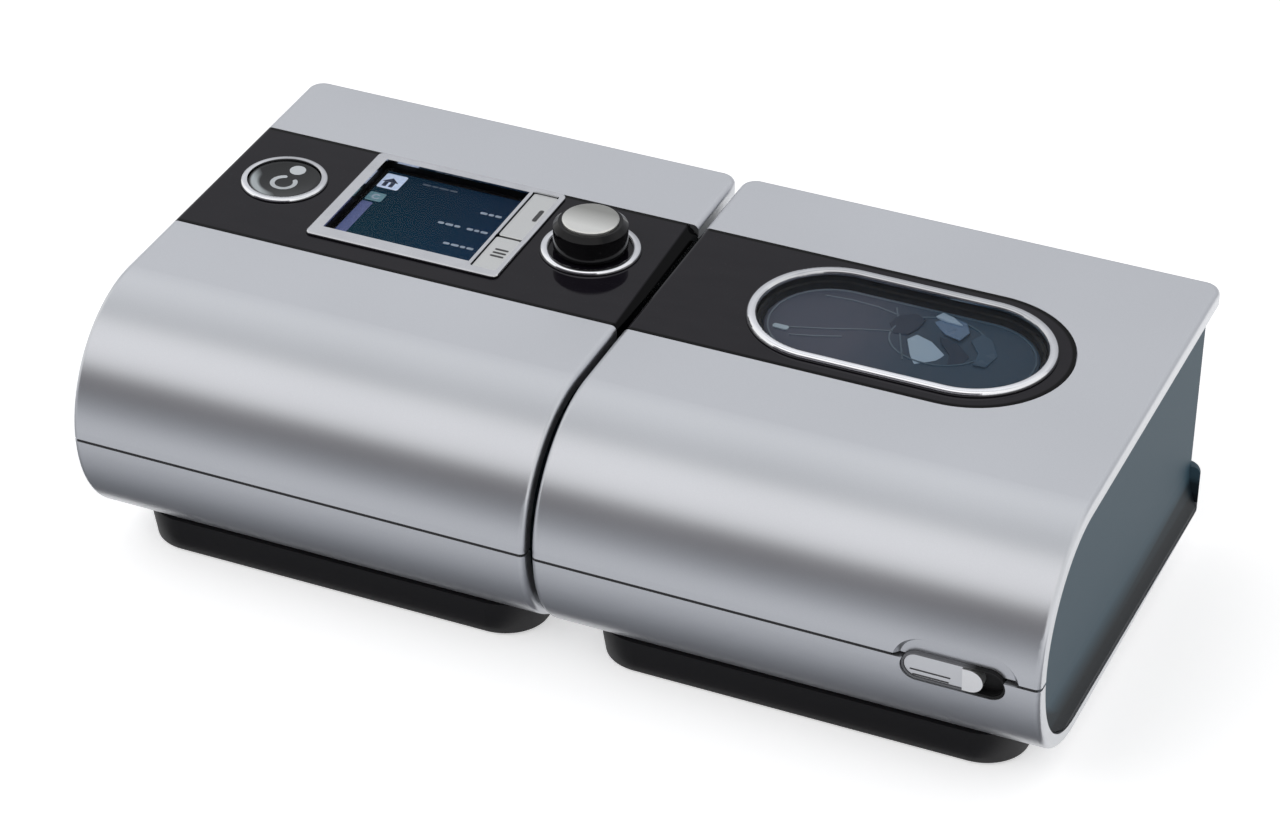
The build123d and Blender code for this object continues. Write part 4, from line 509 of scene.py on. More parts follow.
def brushed_metal(name, colour, roughness, stretch):
    finish = Finish(name, Metallic=1.0)
    scratches = finish.noise(0.25, detail=5.0, stretch=stretch)
    share = scratches * 0.6 + finish.noise(12.0) * 0.4
    finish.feed(
        Base_Color=finish.blend(share, shade(colour, -18), shade(colour, 12)),
        Roughness=roughness - 0.05 + scratches * 0.14,
        Normal=finish.bump(scratches, 0.01, 0.4),
    )
    return finish.material


DIAL, WINDOW_MIDDLE, WINDOW_HALF_LENGTH = (-27.4, 19.9), (69.9, 14.9), 20.5
start_crown = Crown(START_BUTTON, 0.0, middle=12.0, half_width=1.0, rise=0.3)
dial_crown = Crown(DIAL, 0.0, middle=13.5, half_width=1.3, rise=0.42)
window_crown = Crown(WINDOW_MIDDLE, WINDOW_HALF_LENGTH, middle=23.0, half_width=1.6, rise=0.4)
start_chrome = trim_chrome("start_chrome", shaded_below=0.3, tones=(166, 248), crown=start_crown)
dial_chrome = trim_chrome("dial_chrome", shaded_below=0.3, tones=(166, 248), crown=dial_crown)
window_chrome = trim_chrome("window_chrome", shaded_below=0.3, tones=(176, 246), crown=window_crown)
bezel_chrome = trim_chrome("bezel_chrome", shaded_below=0.4, tones=(192, 214))
steel = brushed_metal("steel", (176, 178, 182), roughness=0.28, stretch=(1, 1, 0.08))
heater_metal = brushed_metal("heater_metal", (196, 197, 199), roughness=0.34, stretch=(0.05, 1, 1))
print("metals ready")

# %% [markdown]
# ## Clear plastics
#
# Real refraction through a thin window costs many samples and changes little, so the clear
# parts let light straight through by their alpha and keep their shine. The lid's window is
# tinted, and the tub under it is clear with a haze from its moulding.

# %% Clear plastics
def clear_plastic(name, tint, solid_share, roughness):
    finish = Finish(name)
    haze = finish.noise(18.0, detail=3.0)
    finish.feed(
        Base_Color=finish.blend(haze, rgb(*tint), shade(tint, 8)),
        Roughness=roughness + haze * 0.04,
        Alpha=solid_share + (haze - 0.5) * 0.04,
    )
    return finish.material


lid_glass = clear_plastic("lid_glass", (18, 28, 40), solid_share=0.14, roughness=0.02)
screen_glass = clear_plastic("screen_glass", (12, 18, 26), solid_share=0.06, roughness=0.03)
tub_plastic = clear_plastic("tub_plastic", (96, 118, 138), solid_share=0.62, roughness=0.12)
print("clear plastics ready")

# %% [markdown]
# ## Circuit boards and the filter
#
# A board is green lacquer over copper. Two crossed wave patterns, cut off sharply, leave thin
# lighter lines where the copper tracks run. The filter is pleated paper: one wave makes its
# folds, and noise its fibres.

# %% Boards and felt
def circuit_board(name):
    finish = Finish(name)
    waves = {
        axis: finish.node(
            "ShaderNodeTexWave",
            {"bands_direction": axis, "wave_type": "BANDS"},
            {"Vector": finish.place(), "Scale": 95.0, "Distortion": 6.0, "Detail Scale": 0.6},
            output="Fac",
        )
        for axis in ("X", "Y")
    }
    tracks = (waves["X"] > 0.86) * (waves["Y"] > 0.3)
    finish.feed(
        Base_Color=finish.blend(tracks * 0.7, rgb(24, 84, 52), rgb(78, 136, 84)),
        Roughness=0.34 + finish.noise(1.5) * 0.12,
        Normal=finish.bump(tracks, 0.03, 0.6),
    )
    return finish.material


def pleated_felt(name):
    finish = Finish(name)
    pleats = finish.node(
        "ShaderNodeTexWave",
        {"bands_direction": "X", "wave_type": "BANDS"},
        {"Vector": finish.place(), "Scale": 160.0, "Distortion": 0.4},
        output="Fac",
    )
    fibres = finish.noise(0.3, detail=5.0, stretch=(1, 1, 4))
    finish.feed(
        Base_Color=finish.blend(pleats * 0.7 + fibres * 0.3, rgb(176, 178, 176), rgb(232, 233, 230)),
        Roughness=0.85 + fibres * 0.1,
        Normal=finish.bump(fibres, 0.05, 0.5, finish.bump(pleats, 0.6, 0.8)),
    )
    return finish.material


board_green = circuit_board("board_green")
filter_felt = pleated_felt("filter_felt")
print("board and felt ready")

# %% [markdown]
# ## The lit display
#
# The display shows a dark blue-green page. Its picture glows by itself, so the colour goes to
# the emission as well as to the base. The page darkens to the top and turns greener to the left.

# %% The display's page
PAGE_X, PAGE_Y = (-101.3, -57.3), (-0.3, 38.9)


def display_page(name):
    finish = Finish(name, Emission_Strength=0.5, Specular_IOR_Level=0.0)
    across = finish.ramp(finish.along("X"), *PAGE_X)
    to_back = finish.ramp(finish.along("Y"), *PAGE_Y)
    cloud = finish.noise(9.0)
    sideways = finish.blend(across, rgb(17, 46, 56), rgb(16, 40, 64))
    page = finish.blend(to_back * 0.6 + cloud * 0.15, sideways, rgb(10, 24, 44))
    finish.feed(Base_Color=page, Emission_Color=page, Roughness=0.4 + cloud * 0.05)
    return finish.material


def glowing(name, dim, bright, strength):
    finish = Finish(name, Emission_Strength=strength, Specular_IOR_Level=0.2)
    tone = finish.blend(finish.noise(1.2, detail=2.0), rgb(*dim), rgb(*bright))
    finish.feed(Base_Color=tone, Emission_Color=tone, Roughness=0.4 + finish.noise(0.5) * 0.1)
    return finish.material


page = display_page("page")
tile_blue = glowing("tile_blue", (150, 168, 200), (196, 208, 230), 0.5)
tile_teal = glowing("tile_teal", (56, 96, 110), (104, 138, 150), 0.4)
side_lavender = glowing("side_lavender", (58, 68, 108), (84, 94, 140), 0.45)
icon_navy = glowing("icon_navy", (18, 28, 52), (30, 42, 70), 0.3)
text_pale = glowing("text_pale", (104, 118, 134), (140, 152, 168), 0.5)
text_faint = glowing("text_faint", (44, 58, 74), (62, 76, 92), 0.4)
print("display finishes ready")

# %% [markdown]
# ## Which part gets which finish
#
# The parts come with their meshes, and those stay as they are. Only their material slots are
# filled, and what is left over is printed, so that no part is forgotten.

# %% Hand out the finishes
FINISHES = {
    casing_silver: ("flow_upper_shell", "flow_lower_shell", "humidifier_lid", "humidifier_lower_shell"),
    band_black: ("fascia_panel", "lid_inlay"),
    start_chrome: ("start_button_ring",),
    dial_chrome: ("dial_ring",),
    window_chrome: ("window_ring",),
    bezel_chrome: ("screen_bezel",),
    button_black: ("start_button",),
    key_silver: ("info_key", "setup_key"),
    cap_silver: ("dial_cap",),
    latch_silver_highlit: ("latch_slider",),
    dial_black: ("dial_knob",),
    pocket_black: ("latch_pocket",),
    lid_glass: ("window_lens",),
    screen_glass: ("screen_window",),
    tub_plastic: ("water_tub", "tub_cover"),
    panel_slate: ("flow_chassis", "humidifier_chassis"),
    plinth_black: ("flow_plinth", "humidifier_plinth", "filter_cover", "power_inlet", "card_slot"),
    liner_black: ("lid_liner",),
    rubber_black: ("flow_feet", "humidifier_feet", "blower_mounts", "lid_seal"),
    moulding_grey: (
        "blower_lower_housing", "blower_upper_housing", "impeller", "inlet_muffler", "outlet_tube",
        "inlet_socket", "air_outlet", "dock_plug", "dock_socket",
    ),
    steel: (
        "dial_shaft", "motor_shaft", "board_screws", "hinge_pins", "cord_clip", "latch_spring", "motor_can",
    ),
    heater_metal: ("heater_plate", "tub_base_plate"),
    board_green: ("control_board", "power_board"),
    component_black: ("dial_encoder", "encoder_plunger", "tact_switches", "lcd_module"),
    filter_felt: ("air_filter",),
    card_blue: ("data_card",),
}
for material, parts in FINISHES.items():
    for part in parts:
        slots = frame["nodes"][part].data.materials
        slots.clear()
        slots.append(material)
left_plain = set(frame["nodes"]) - {part for parts in FINISHES.values() for part in parts}
print("parts without a finish:", sorted(left_plain))

# %% [markdown]
# ## Places on the sloped top
#
# The tops fall two degrees to the front. A mark is easiest to place by its distance along the
# top and its height above it, so one helper turns those into a point of the machine. A second
# does the same for the start button, whose hollow is part of a sphere, and a third for the
# latch's small tilted face at the front, whose middle is `LATCH`.

# %% Places on the top and on the latch
LATCH_TILT = math.radians(7.56)
LATCH = Vector((120.5, -76.137, 40.05))
DISH_RADIUS, DISH_HEIGHT = 58.0, 57.6


def on_top(x, y, h):
    """A point of the top, from millimetres along it and above it."""
    up = TOP_HEIGHT + y * math.sin(TOP_SLOPE) + h * math.cos(TOP_SLOPE)
    return Vector((x, y * math.cos(TOP_SLOPE) - h * math.sin(TOP_SLOPE), up)) * MM


def on_dish(x, y, h):
    """A point of the hollow in the start button, from millimetres along the top and above it."""
    reach = math.hypot(x - START_BUTTON[0], y - START_BUTTON[1])
    return on_top(x, y, h + DISH_HEIGHT - math.sqrt(DISH_RADIUS ** 2 - reach ** 2))


def on_latch(x, y, h):
    """A point of the latch's face, from millimetres across, up and out of it."""
    out = Vector((0, -math.cos(LATCH_TILT), -math.sin(LATCH_TILT)))
    rise = Vector((0, -math.sin(LATCH_TILT), math.cos(LATCH_TILT)))
    return (LATCH + Vector((1, 0, 0)) * x + rise * y + out * h) * MM


print("top at the dial", [round(v, 4) for v in on_top(*DIAL, 0)])

# %% [markdown]
# ## From corners to pieces
#
# Every added piece is built the same way. Its corners go into an empty bmesh, which is a mesh
# that can still be worked on, `skin` joins loops of corners with four-sided faces, and
# `put_in_scene` makes an object of it. Printed and moulded marks are thin plates: outlines that
# get a thickness and a softened edge.

# %% From corners to pieces
def skin(shape, loops):
    """Joins each loop of corners to the next with four-sided faces."""
    faces = []
    for near, far in zip(loops, loops[1:]):
        for i in range(len(near)):
            j = (i + 1) % len(near)
            faces.append(shape.faces.new((near[i], near[j], far[j], far[i])))
    return faces


def put_in_scene(name, shape, material, closed=True):
    """Makes an object of a shape. The faces of a closed one are turned outwards first."""
    if closed:
        bmesh.ops.recalc_face_normals(shape, faces=shape.faces)
    mesh = bpy.data.meshes.new(name)
    shape.to_mesh(mesh)
    shape.free()
    mesh.materials.append(material)
    piece = bpy.data.objects.new(name, mesh)
    bpy.context.scene.collection.objects.link(piece)
    return piece


def plate(name, outlines, low, high, place, material, body, edge=0.0):
    """Thin solids over closed outlines, from height low to height high, riding on a body."""
    shape = bmesh.new()
    for outline in outlines:
        top = [shape.verts.new(place(x, y, high)) for x, y in outline]
        foot = [shape.verts.new(place(x, y, low)) for x, y in outline]
        shape.faces.new(top)
        shape.faces.new(foot[::-1])
        skin(shape, [foot, top])
    piece = put_in_scene(name, shape, material)
    if edge:
        bevel = piece.modifiers.new("softened", "BEVEL")
        bevel.width = edge * MM
        bevel.segments = 2
        bevel.limit_method = "ANGLE"
    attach(piece, body)


print("pieces can be made")

# %% [markdown]
# ## Outlines
#
# An outline is a list of points that runs once round a shape, either way, because the faces
# are turned outwards afterwards. Three kinds serve for the marks: a rectangle with rounded
# corners, an ellipse, and a ring with a gap.

# %% Outlines
def rounded(x0, x1, y0, y1, radius, steps=6):
    """A rectangle with rounded corners, as a list of points."""
    points = []
    for cx, cy, start in (
        (x1 - radius, y1 - radius, 0), (x0 + radius, y1 - radius, 90),
        (x0 + radius, y0 + radius, 180), (x1 - radius, y0 + radius, 270),
    ):
        for i in range(steps + 1):
            turn = math.radians(start + 90 * i / steps)
            points.append((cx + radius * math.cos(turn), cy + radius * math.sin(turn)))
    return points


def ellipse(centre, half_x, half_y, step):
    """An ellipse with a point at every step, in degrees."""
    turns = [math.radians(a) for a in range(0, 360, step)]
    return [(centre[0] + half_x * math.cos(t), centre[1] + half_y * math.sin(t)) for t in turns]


def open_ring(cx, cy, inner, outer, start, end, steps=40):
    """A ring with a gap and rounded ends, drawn anticlockwise between two angles in degrees."""
    half = (outer - inner) / 2
    middle = (outer + inner) / 2

    def point(radius, degrees):
        turn = math.radians(degrees)
        return (cx + radius * math.cos(turn), cy + radius * math.sin(turn))

    def cap(degrees, swing):
        mx, my = point(middle, degrees)
        first = degrees if swing > 0 else degrees + 180
        turns = [math.radians(first + 180 * i / 8) for i in range(1, 8)]
        return [(mx + half * math.cos(t), my + half * math.sin(t)) for t in turns]

    sweep = [start + (end - start) * i / steps for i in range(steps + 1)]
    return (
        [point(outer, a) for a in sweep]
        + cap(end, 1)
        + [point(inner, a) for a in reversed(sweep)]
        + cap(start, -1)
    )


print("a rounded corner has", len(rounded(0, 1, 0, 1, 0.2)) // 4, "points")

# %% [markdown]
# ## The picture on the display
#
# The display's own glass stands on its module and fills the opening under the clear window. On
# it lies the menu: a home tile, a second tile and a lavender bar down the left side. They are
# thin plates one on the other, each a few hundredths of a millimetre above the last.

# %% Tiles on the display
GLASS = (-3.98, -2.06)
PICTURE = (GLASS[1] + 0.01, GLASS[1] + 0.05)
RAISED = (PICTURE[1], PICTURE[1] + 0.04)


def show(name, outlines, heights, material):
    """A plate on the display."""
    plate(name, outlines, *heights, on_top, material, "flow_generator")


roof = [(-100.7, 33.0), (-98.1, 35.4), (-95.5, 33.0)]
walls = [rounded(x, x + 1.3, 30.4, 32.9, 0.1, 2) for x in (-99.8, -97.7)]
second_ring = open_ring(-98.3, 24.0, 0.8, 1.4, 60, 330, 16)
show("display_glass", [rounded(*PAGE_X, *PAGE_Y, 0.4)], GLASS, page)
show("home_tile", [rounded(-101.1, -94.2, 29.4, 37.6, 0.7)], PICTURE, tile_blue)
show("home_mark", [roof, *walls], RAISED, icon_navy)
show("second_tile", [rounded(-101.1, -95.8, 21.6, 26.3, 0.6)], PICTURE, tile_teal)
show("second_mark", [second_ring], RAISED, text_pale)
show("side_bar", [rounded(-101.2, -97.6, 1.0, 20.6, 0.5)], PICTURE, side_lavender)
print("display glass from", GLASS[0], "to", GLASS[1], "mm over the top")

# %% [markdown]
# ## Bars in place of words
#
# The menu's words are plain bars: a faint heading, and three lines at the right, of which the
# middle one has two words. A word is a row of short rounded bars that ends at its place.

# %% Bars in place of words
BAR, HEADING_BAR = 1.1, 0.9


def word(x, y, widths, height, gap=0.5):
    """A row of short rounded bars from x to the left, standing for a word that isn't written."""
    bars = []
    for width in widths:
        bars.append(rounded(x - width, x, y - height / 2, y + height / 2, height * 0.35, 3))
        x -= width + gap
    return bars


heading = word(-77.5, 36.0, (2.4, 3.0, 1.8, 2.6), HEADING_BAR)
show("heading_bars", heading, PICTURE, text_faint)
menu = (
    word(-59.6, 28.3, (2.0, 1.6, 2.2), BAR)
    + word(-59.6, 18.6, (2.2, 1.5, 1.9), BAR)
    + word(-68.4, 18.6, (1.8, 2.4, 1.9), BAR)
    + word(-59.6, 8.9, (2.1, 1.6, 2.4, 2.0), BAR)
)
show("menu_bars", menu, PICTURE, text_pale)
print("menu bars", len(menu), "heading bars", len(heading))

# %% [markdown]
# ## Marks on the button, the keys and the latch
#
# The start button carries a plain standby mark: an open ring with a drop in its gap. The upper
# key has one short bar and the lower key three, and the latch's slider has two grip lines.

# %% Marks
mark_silver = silver_paint("mark_silver", (196, 200, 202))
mark_dark = moulded("mark_dark", (52, 52, 54), grain_mm=0.3, depth_mm=0.005)

ON_BUTTON = (0.01, 0.07)
standby = [open_ring(-125.4, 17.5, 2.7, 4.1, 110, 400), ellipse((-124.5, 24.9), 2.5, 2.2, 15)]
plate("standby_mark", standby, *ON_BUTTON, on_dish, mark_silver, "start_button")

ON_KEY = (0.5, 0.56)
plate("info_mark", [rounded(-49.2, -47.8, 26.3, 32.9, 0.65)], *ON_KEY, on_top, mark_dark, "info_key")
bars = [rounded(-52.2, -48.0, y, y + 0.8, 0.35, 3) for y in (4.2, 6.0, 7.8)]
plate("setup_mark", bars, *ON_KEY, on_top, mark_dark, "setup_key")

ON_SLIDER = (-1.02, -0.9)
grips = [rounded(-12.3, -0.8, -1.8, -1.4, 0.18, 3), rounded(-11.5, -1.2, -3.5, -3.1, 0.18, 3)]
plate("grip_lines", grips, *ON_SLIDER, on_latch, mark_dark, "latch_slider")
print("marks on the setup key", len(bars), "on the slider", len(grips))

# %% [markdown]
# ## What shows through the lid's window
#
# Close under the window stands the moulded roof of the water tub: an oblong block with a thin
# rim, fine ribs that guide the air, and slanted facets where it enters. The facets at the front
# and the back carry painted highlights, paler copies of the roof's colour. The others are
# painted near the roof's own colour, one a little lighter and two darker as painted shade. The
# roof's colour runs from a violet grey at the left to a blue at the right.

# %% Finishes under the window
TINTS_MEET = (56.0, 78.0)


def roof_plastic(name, left, right, roughness, mirror=0.15):
    """A tinted plastic whose colour changes from the left end of the window to the right."""
    finish = Finish(name, Specular_IOR_Level=mirror)
    cloud = finish.noise(7.0, detail=3.0)
    across = finish.ramp(finish.along("X"), *TINTS_MEET)
    finish.feed(
        Base_Color=finish.blend(across + (cloud - 0.5) * 0.5, rgb(*left), rgb(*right)),
        Roughness=roughness + cloud * 0.12,
        Normal=finish.bump(finish.noise(5.0), 0.12, 0.5),
    )
    return finish.material


tub_roof = roof_plastic("tub_roof", (84, 89, 106), (44, 70, 92), 0.25)
roof_line = roof_plastic("roof_line", (122, 134, 148), (74, 100, 120), 0.3)
# Painted highlights and painted shade: lit and shaded copies of the roof's colour, for the facets.
facet_highlight_pale = roof_plastic("facet_highlight_pale", (186, 206, 220), (168, 194, 218), 0.2, 0.3)
facet_highlight_soft = roof_plastic("facet_highlight_soft", (112, 140, 172), (96, 126, 160), 0.2, 0.3)
facet_highlight_dim = roof_plastic("facet_highlight_dim", (84, 100, 122), (58, 86, 110), 0.2)
facet_shade_dark = roof_plastic("facet_shade_dark", (60, 66, 84), (32, 52, 74), 0.25)
print("window finishes ready")

# %% [markdown]
# ## The tub's roof
#
# The roof repeats the window's oblong a little smaller, and its ribs are strokes of even width
# through a few points. The rim, the ribs and the facets all start a little inside the roof, so
# that no gap shows under them.

# %% The tub's roof
ROOF, ROOF_HALF = (-15.6, -2.9), 19.6
LINE_RISE, SPOT_RISE, RIB_HALF = 0.25, 0.5, 0.22
RIM_OUTER, RIM_INNER = ROOF_HALF - 1.0, ROOF_HALF - 1.5


def on_roof(rise):
    """The heights of a piece that stands on the roof: from just inside it up to a rise."""
    return ROOF[1] - 0.1, ROOF[1] + rise


def oblong(half):
    """The round-ended outline of the window, that far from its middle line."""
    x, y = WINDOW_MIDDLE
    half_length = WINDOW_HALF_LENGTH + half
    return rounded(x - half_length, x + half_length, y - half, y + half, half, 24)


def rim(name, outer, inner):
    """A raised line on the roof, between two outlines that have as many points."""
    low, high = on_roof(LINE_RISE)
    shape = bmesh.new()
    loops = [
        [shape.verts.new(on_top(x, y, h)) for x, y in outline]
        for outline, h in ((outer, low), (outer, high), (inner, high), (inner, low))
    ]
    skin(shape, loops + loops[:1])
    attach(put_in_scene(name, shape, roof_line), "humidifier")


def stroke(points, half):
    """The outline of a line of even width through some points."""
    spots = [Vector(point) for point in points]
    sides = []
    for i, spot in enumerate(spots):
        ahead = (spots[min(i + 1, len(spots) - 1)] - spots[max(i - 1, 0)]).normalized()
        sides.append(Vector((-ahead.y, ahead.x)) * half)
    there = [tuple(spot + side) for spot, side in zip(spots, sides)]
    return there + [tuple(spot - side) for spot, side in zip(spots[::-1], sides[::-1])]


RIBS = (
    [(37.4, 8.5), (48.9, 12.5), (57.9, 16.1), (65.9, 18.7)],
    [(39.9, 5.3), (46.9, 7.5), (53.9, 10.3)],
    [(62.7, 30.7), (66.3, 22.9), (70.1, 13.9), (73.5, 6.1)],
    [(41.9, 28.5), (49.9, 29.3), (57.9, 28.9), (64.9, 27.1)],
)
strokes = [stroke(points, RIB_HALF) for points in RIBS]
plate("tub_roof", [oblong(ROOF_HALF)], *ROOF, on_top, tub_roof, "humidifier", edge=0.5)
rim("roof_rim", oblong(RIM_OUTER), oblong(RIM_INNER))
plate("roof_ribs", strokes, *on_roof(LINE_RISE), on_top, roof_line, "humidifier")
# A painted reflection: a pale tab where the lid's window mirrors a spot of light.
reflection_spot = rounded(34.0, 38.8, 6.9, 8.9, 0.8)
plate("painted_reflection_tab", [reflection_spot], *on_roof(SPOT_RISE), on_top, facet_highlight_pale, "humidifier", edge=0.2)
print("ribs", len(RIBS))

# %% [markdown]
# ## Facets of the air entry
#
# A facet is a plate whose top leans: its height changes with the way from its middle. Each row
# gives its finish, its height over the roof, its rise per millimetre along X and Y, and its
# outline. A thin raised ring ties them together.

# %% Facets of the air entry
FACETS = {
    "facet_front": (
        facet_highlight_pale, 0.4, (-0.05, 0.06),
        [(71.4, 15.6), (73.2, 18.7), (78.2, 17.3), (83.5, 13.1), (81.1, 5.3), (77.7, 4.4), (74.4, 9.5)],
    ),
    "facet_back": (
        facet_highlight_soft, 0.4, (0.06, -0.05),
        [(74.0, 29.0), (76.4, 33.9), (83.9, 30.7), (86.4, 25.8), (85.2, 20.7), (80.0, 22.7)],
    ),
    "facet_glint": (
        facet_highlight_pale, 0.75, (0.04, -0.04),
        [(74.5, 30.3), (75.8, 33.1), (79.5, 31.7), (83.5, 28.3), (78.5, 28.9)],
    ),
    "facet_left": (
        facet_shade_dark, 0.4, (0.04, 0.02),
        [(63.5, 22.5), (64.9, 27.5), (69.5, 29.5), (72.7, 27.5), (72.3, 22.3), (70.5, 18.5), (66.5, 17.7)],
    ),
    "facet_between": (
        facet_shade_dark, 0.4, (-0.03, 0.05),
        [(79.3, 20.7), (85.1, 19.3), (90.3, 14.7), (89.3, 9.1), (85.7, 8.5), (84.7, 13.5), (81.1, 17.3)],
    ),
    "facet_right": (
        facet_highlight_dim, 0.4, (-0.04, -0.03),
        [(87.9, 22.5), (89.5, 27.3), (93.5, 25.5), (97.3, 18.3), (96.1, 11.3), (92.3, 10.9), (91.9, 17.1)],
    ),
}
ENTRY, ENTRY_OUTER, ENTRY_INNER = (79.5, 18.9), (14.3, 12.3), (13.8, 11.8)


def slanted(centre, lean):
    """A way to place points on a facet that rises along X and Y by those shares."""
    def place(x, y, h):
        return on_top(x, y, h + (x - centre[0]) * lean[0] + (y - centre[1]) * lean[1])

    return place


for name, (material, rise, lean, outline) in FACETS.items():
    centre = [sum(values) / len(outline) for values in zip(*outline)]
    leaning = slanted(centre, lean)
    plate(name, [outline], *on_roof(rise), leaning, material, "humidifier", edge=0.3)
rim("entry_ring", ellipse(ENTRY, *ENTRY_OUTER, 6), ellipse(ENTRY, *ENTRY_INNER, 6))
print("facets", len(FACETS))

# %% [markdown]
# ## The seams along the fronts
#
# The upper and lower shells meet in a dark line. A black strip of painted shade lies in that
# groove, a little below the silver, and stays with the lower shell. It stops on both sides of
# the latch.

# %% Seam strips
SEAM_Z, SEAM_HALF, SEAM_DEPTH = 42.7, 0.38, 1.6
FRONT_Y, SEAM_SINK = -76.5, 0.25


def in_seam(x, rise, depth):
    """A point in the groove: how far above its middle, and how far behind the strip's face."""
    return Vector((x, FRONT_Y + SEAM_SINK + depth, SEAM_Z + rise)) * MM


def seam_shade_strip(name, left, right, body):
    """A flat bar of painted shade in the groove, from one place along X to another."""
    section = [(-SEAM_HALF, 0.0), (SEAM_HALF, 0.0), (SEAM_HALF, SEAM_DEPTH), (-SEAM_HALF, SEAM_DEPTH)]
    shape = bmesh.new()
    ends = [[shape.verts.new(in_seam(x, *corner)) for corner in section] for x in (left, right)]
    skin(shape, ends)
    for end in ends:
        shape.faces.new(end)
    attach(put_in_scene(name, shape, rubber_black), body)


# Painted shade: black strips in the seams between the shells.
seam_shade_strip("flow_seam", -143.7, -5.3, "flow_generator")
seam_shade_strip("humidifier_seam_left", -0.7, 103.0, "humidifier")
seam_shade_strip("humidifier_seam_right", 140.0, 143.7, "humidifier")
print("seam strips at", SEAM_Z, "mm over the table")

# %% [markdown]
# ## The latch's spring
#
# The slider shortens its spring when it slides, and a solid spring can't give way. The solid one
# is hidden, and a coil of wire stands in its place; nothing here makes the coil shorten. The wire
# is a row of small rings of corners, each turned a little further round the coil than the last.

# %% Latch spring
COIL_START, COIL_LENGTH, COIL_DEPTH = -1.6, 10.7, -6.6
COIL_RADIUS, COIL_PITCH, WIRE_RADIUS = 0.95, 1.8, 0.3
COIL_STOP, SLIDER_TRAVEL, SLIDER_FOOT = 9.5, 5.2, -2.0
STEPS_A_TURN, STEPS_ROUND_WIRE = 20, 8


def wire_point(x, around):
    """A point of the wire's skin, where its middle line is x along the coil."""
    turn = 2 * math.pi * (x - COIL_START) / COIL_PITCH
    out = COIL_RADIUS + WIRE_RADIUS * math.cos(around)
    along = x + WIRE_RADIUS * math.sin(around)
    return on_latch(along, out * math.cos(turn), COIL_DEPTH + out * math.sin(turn))


def wound_wire(name, material):
    """A coil of wire with flat ends."""
    steps = round(COIL_LENGTH / COIL_PITCH * STEPS_A_TURN)
    places = [COIL_START + COIL_LENGTH * i / steps for i in range(steps + 1)]
    arounds = [2 * math.pi * k / STEPS_ROUND_WIRE for k in range(STEPS_ROUND_WIRE)]
    shape = bmesh.new()
    loops = [[shape.verts.new(wire_point(x, around)) for around in arounds] for x in places]
    for face in skin(shape, loops):
        face.smooth = True
    for end in (loops[0], loops[-1]):
        shape.faces.new(end)
    return put_in_scene(name, shape, material)


coil = wound_wire("spring_coil", steel)
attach(coil, "humidifier")
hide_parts("latch_spring")
coil_end = tuple(on_latch(COIL_STOP, 0, COIL_DEPTH))
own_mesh(coil)

# %% [markdown]
# ## The camera
#
# The camera looks down on the machine from the front right with a long lens, as for a
# catalogue. Three directions set it up: back, from the machine to the camera, and right and up
# across its view, both turned by a small lean. It stands straight back from the middle of the
# table, then moves a little across its view to frame the machine.

# %% Camera
AZIMUTH, ELEVATION, LEAN = math.radians(22.67), math.radians(32.12), math.radians(1.41)
DISTANCE, SHIFT_RIGHT, SHIFT_UP = 1.24007, -0.00129, 0.03877
back = Vector((
    math.sin(AZIMUTH) * math.cos(ELEVATION),
    -math.cos(AZIMUTH) * math.cos(ELEVATION),
    math.sin(ELEVATION),
))
level = Vector((math.cos(AZIMUTH), math.sin(AZIMUTH), 0))
upright = back.cross(level)
right = math.cos(LEAN) * level + math.sin(LEAN) * upright
up = -math.sin(LEAN) * level + math.cos(LEAN) * upright
camera_data = bpy.data.cameras.new("camera")
camera_data.sensor_width = 36.0
camera_data.lens = 119.24
camera_data.clip_start, camera_data.clip_end = 0.05, 50.0
camera = bpy.data.objects.new("camera", camera_data)
turn = Matrix((right, up, back)).transposed().to_4x4()
camera.matrix_world = Matrix.Translation(back * DISTANCE + right * SHIFT_RIGHT + up * SHIFT_UP) @ turn
bpy.context.scene.collection.objects.link(camera)
bpy.context.scene.camera = camera
print("camera at", [round(v, 3) for v in camera.matrix_world.translation])

# %% [markdown]
# ## The table
#
# The machine stands on a white table. The lamp lights it evenly and leaves the machine's soft
# shadow on it. Where a camera, a mirror or a window looks at it, it glows a little on top of
# that, which makes it plain white without more light on the machine. `seen` finds those looks.

# %% Table
TABLE_GLOW, TABLE_HALF = 0.5, 8.0


def seen(graph):
    """1 where a camera, a mirror or a window looks straight at the surface, and 0 elsewhere."""
    looks = graph.node("ShaderNodeLightPath", output="Is Camera Ray")
    path = looks.output.node
    for ray in ("Is Glossy Ray", "Is Transmission Ray"):
        looks = looks.most(Signal(graph, path.outputs[ray]))
    return looks


table_white = Finish("table_white", Roughness=0.9, Specular_IOR_Level=0.0)
patches = table_white.noise(400.0)
table_white.feed(Base_Color=table_white.blend(patches, rgb(240, 240, 241), rgb(243, 243, 243)))
lit = Signal(table_white, table_white.shader.outputs[0])
glow = table_white.node(
    "ShaderNodeEmission",
    sockets={"Color": (1, 1, 1, 1), "Strength": seen(table_white) * TABLE_GLOW},
)
both = table_white.node("ShaderNodeAddShader", sockets={0: lit, 1: glow})
table_white.plug(table_white.tree.nodes["Material Output"].inputs["Surface"], both)

table_shape = bmesh.new()
bmesh.ops.create_grid(table_shape, x_segments=8, y_segments=8, size=TABLE_HALF)
table_top = put_in_scene("table_top", table_shape, table_white.material, closed=False)
print("table", 2 * TABLE_HALF, "m wide")

# %% [markdown]
# ## The room
#
# The table runs on into a white room, which lights the machine evenly from all round. Its light
# is set below 1, and only where it is seen does it rise to plain white. The world has a graph
# as a material has, so the same arithmetic writes it.

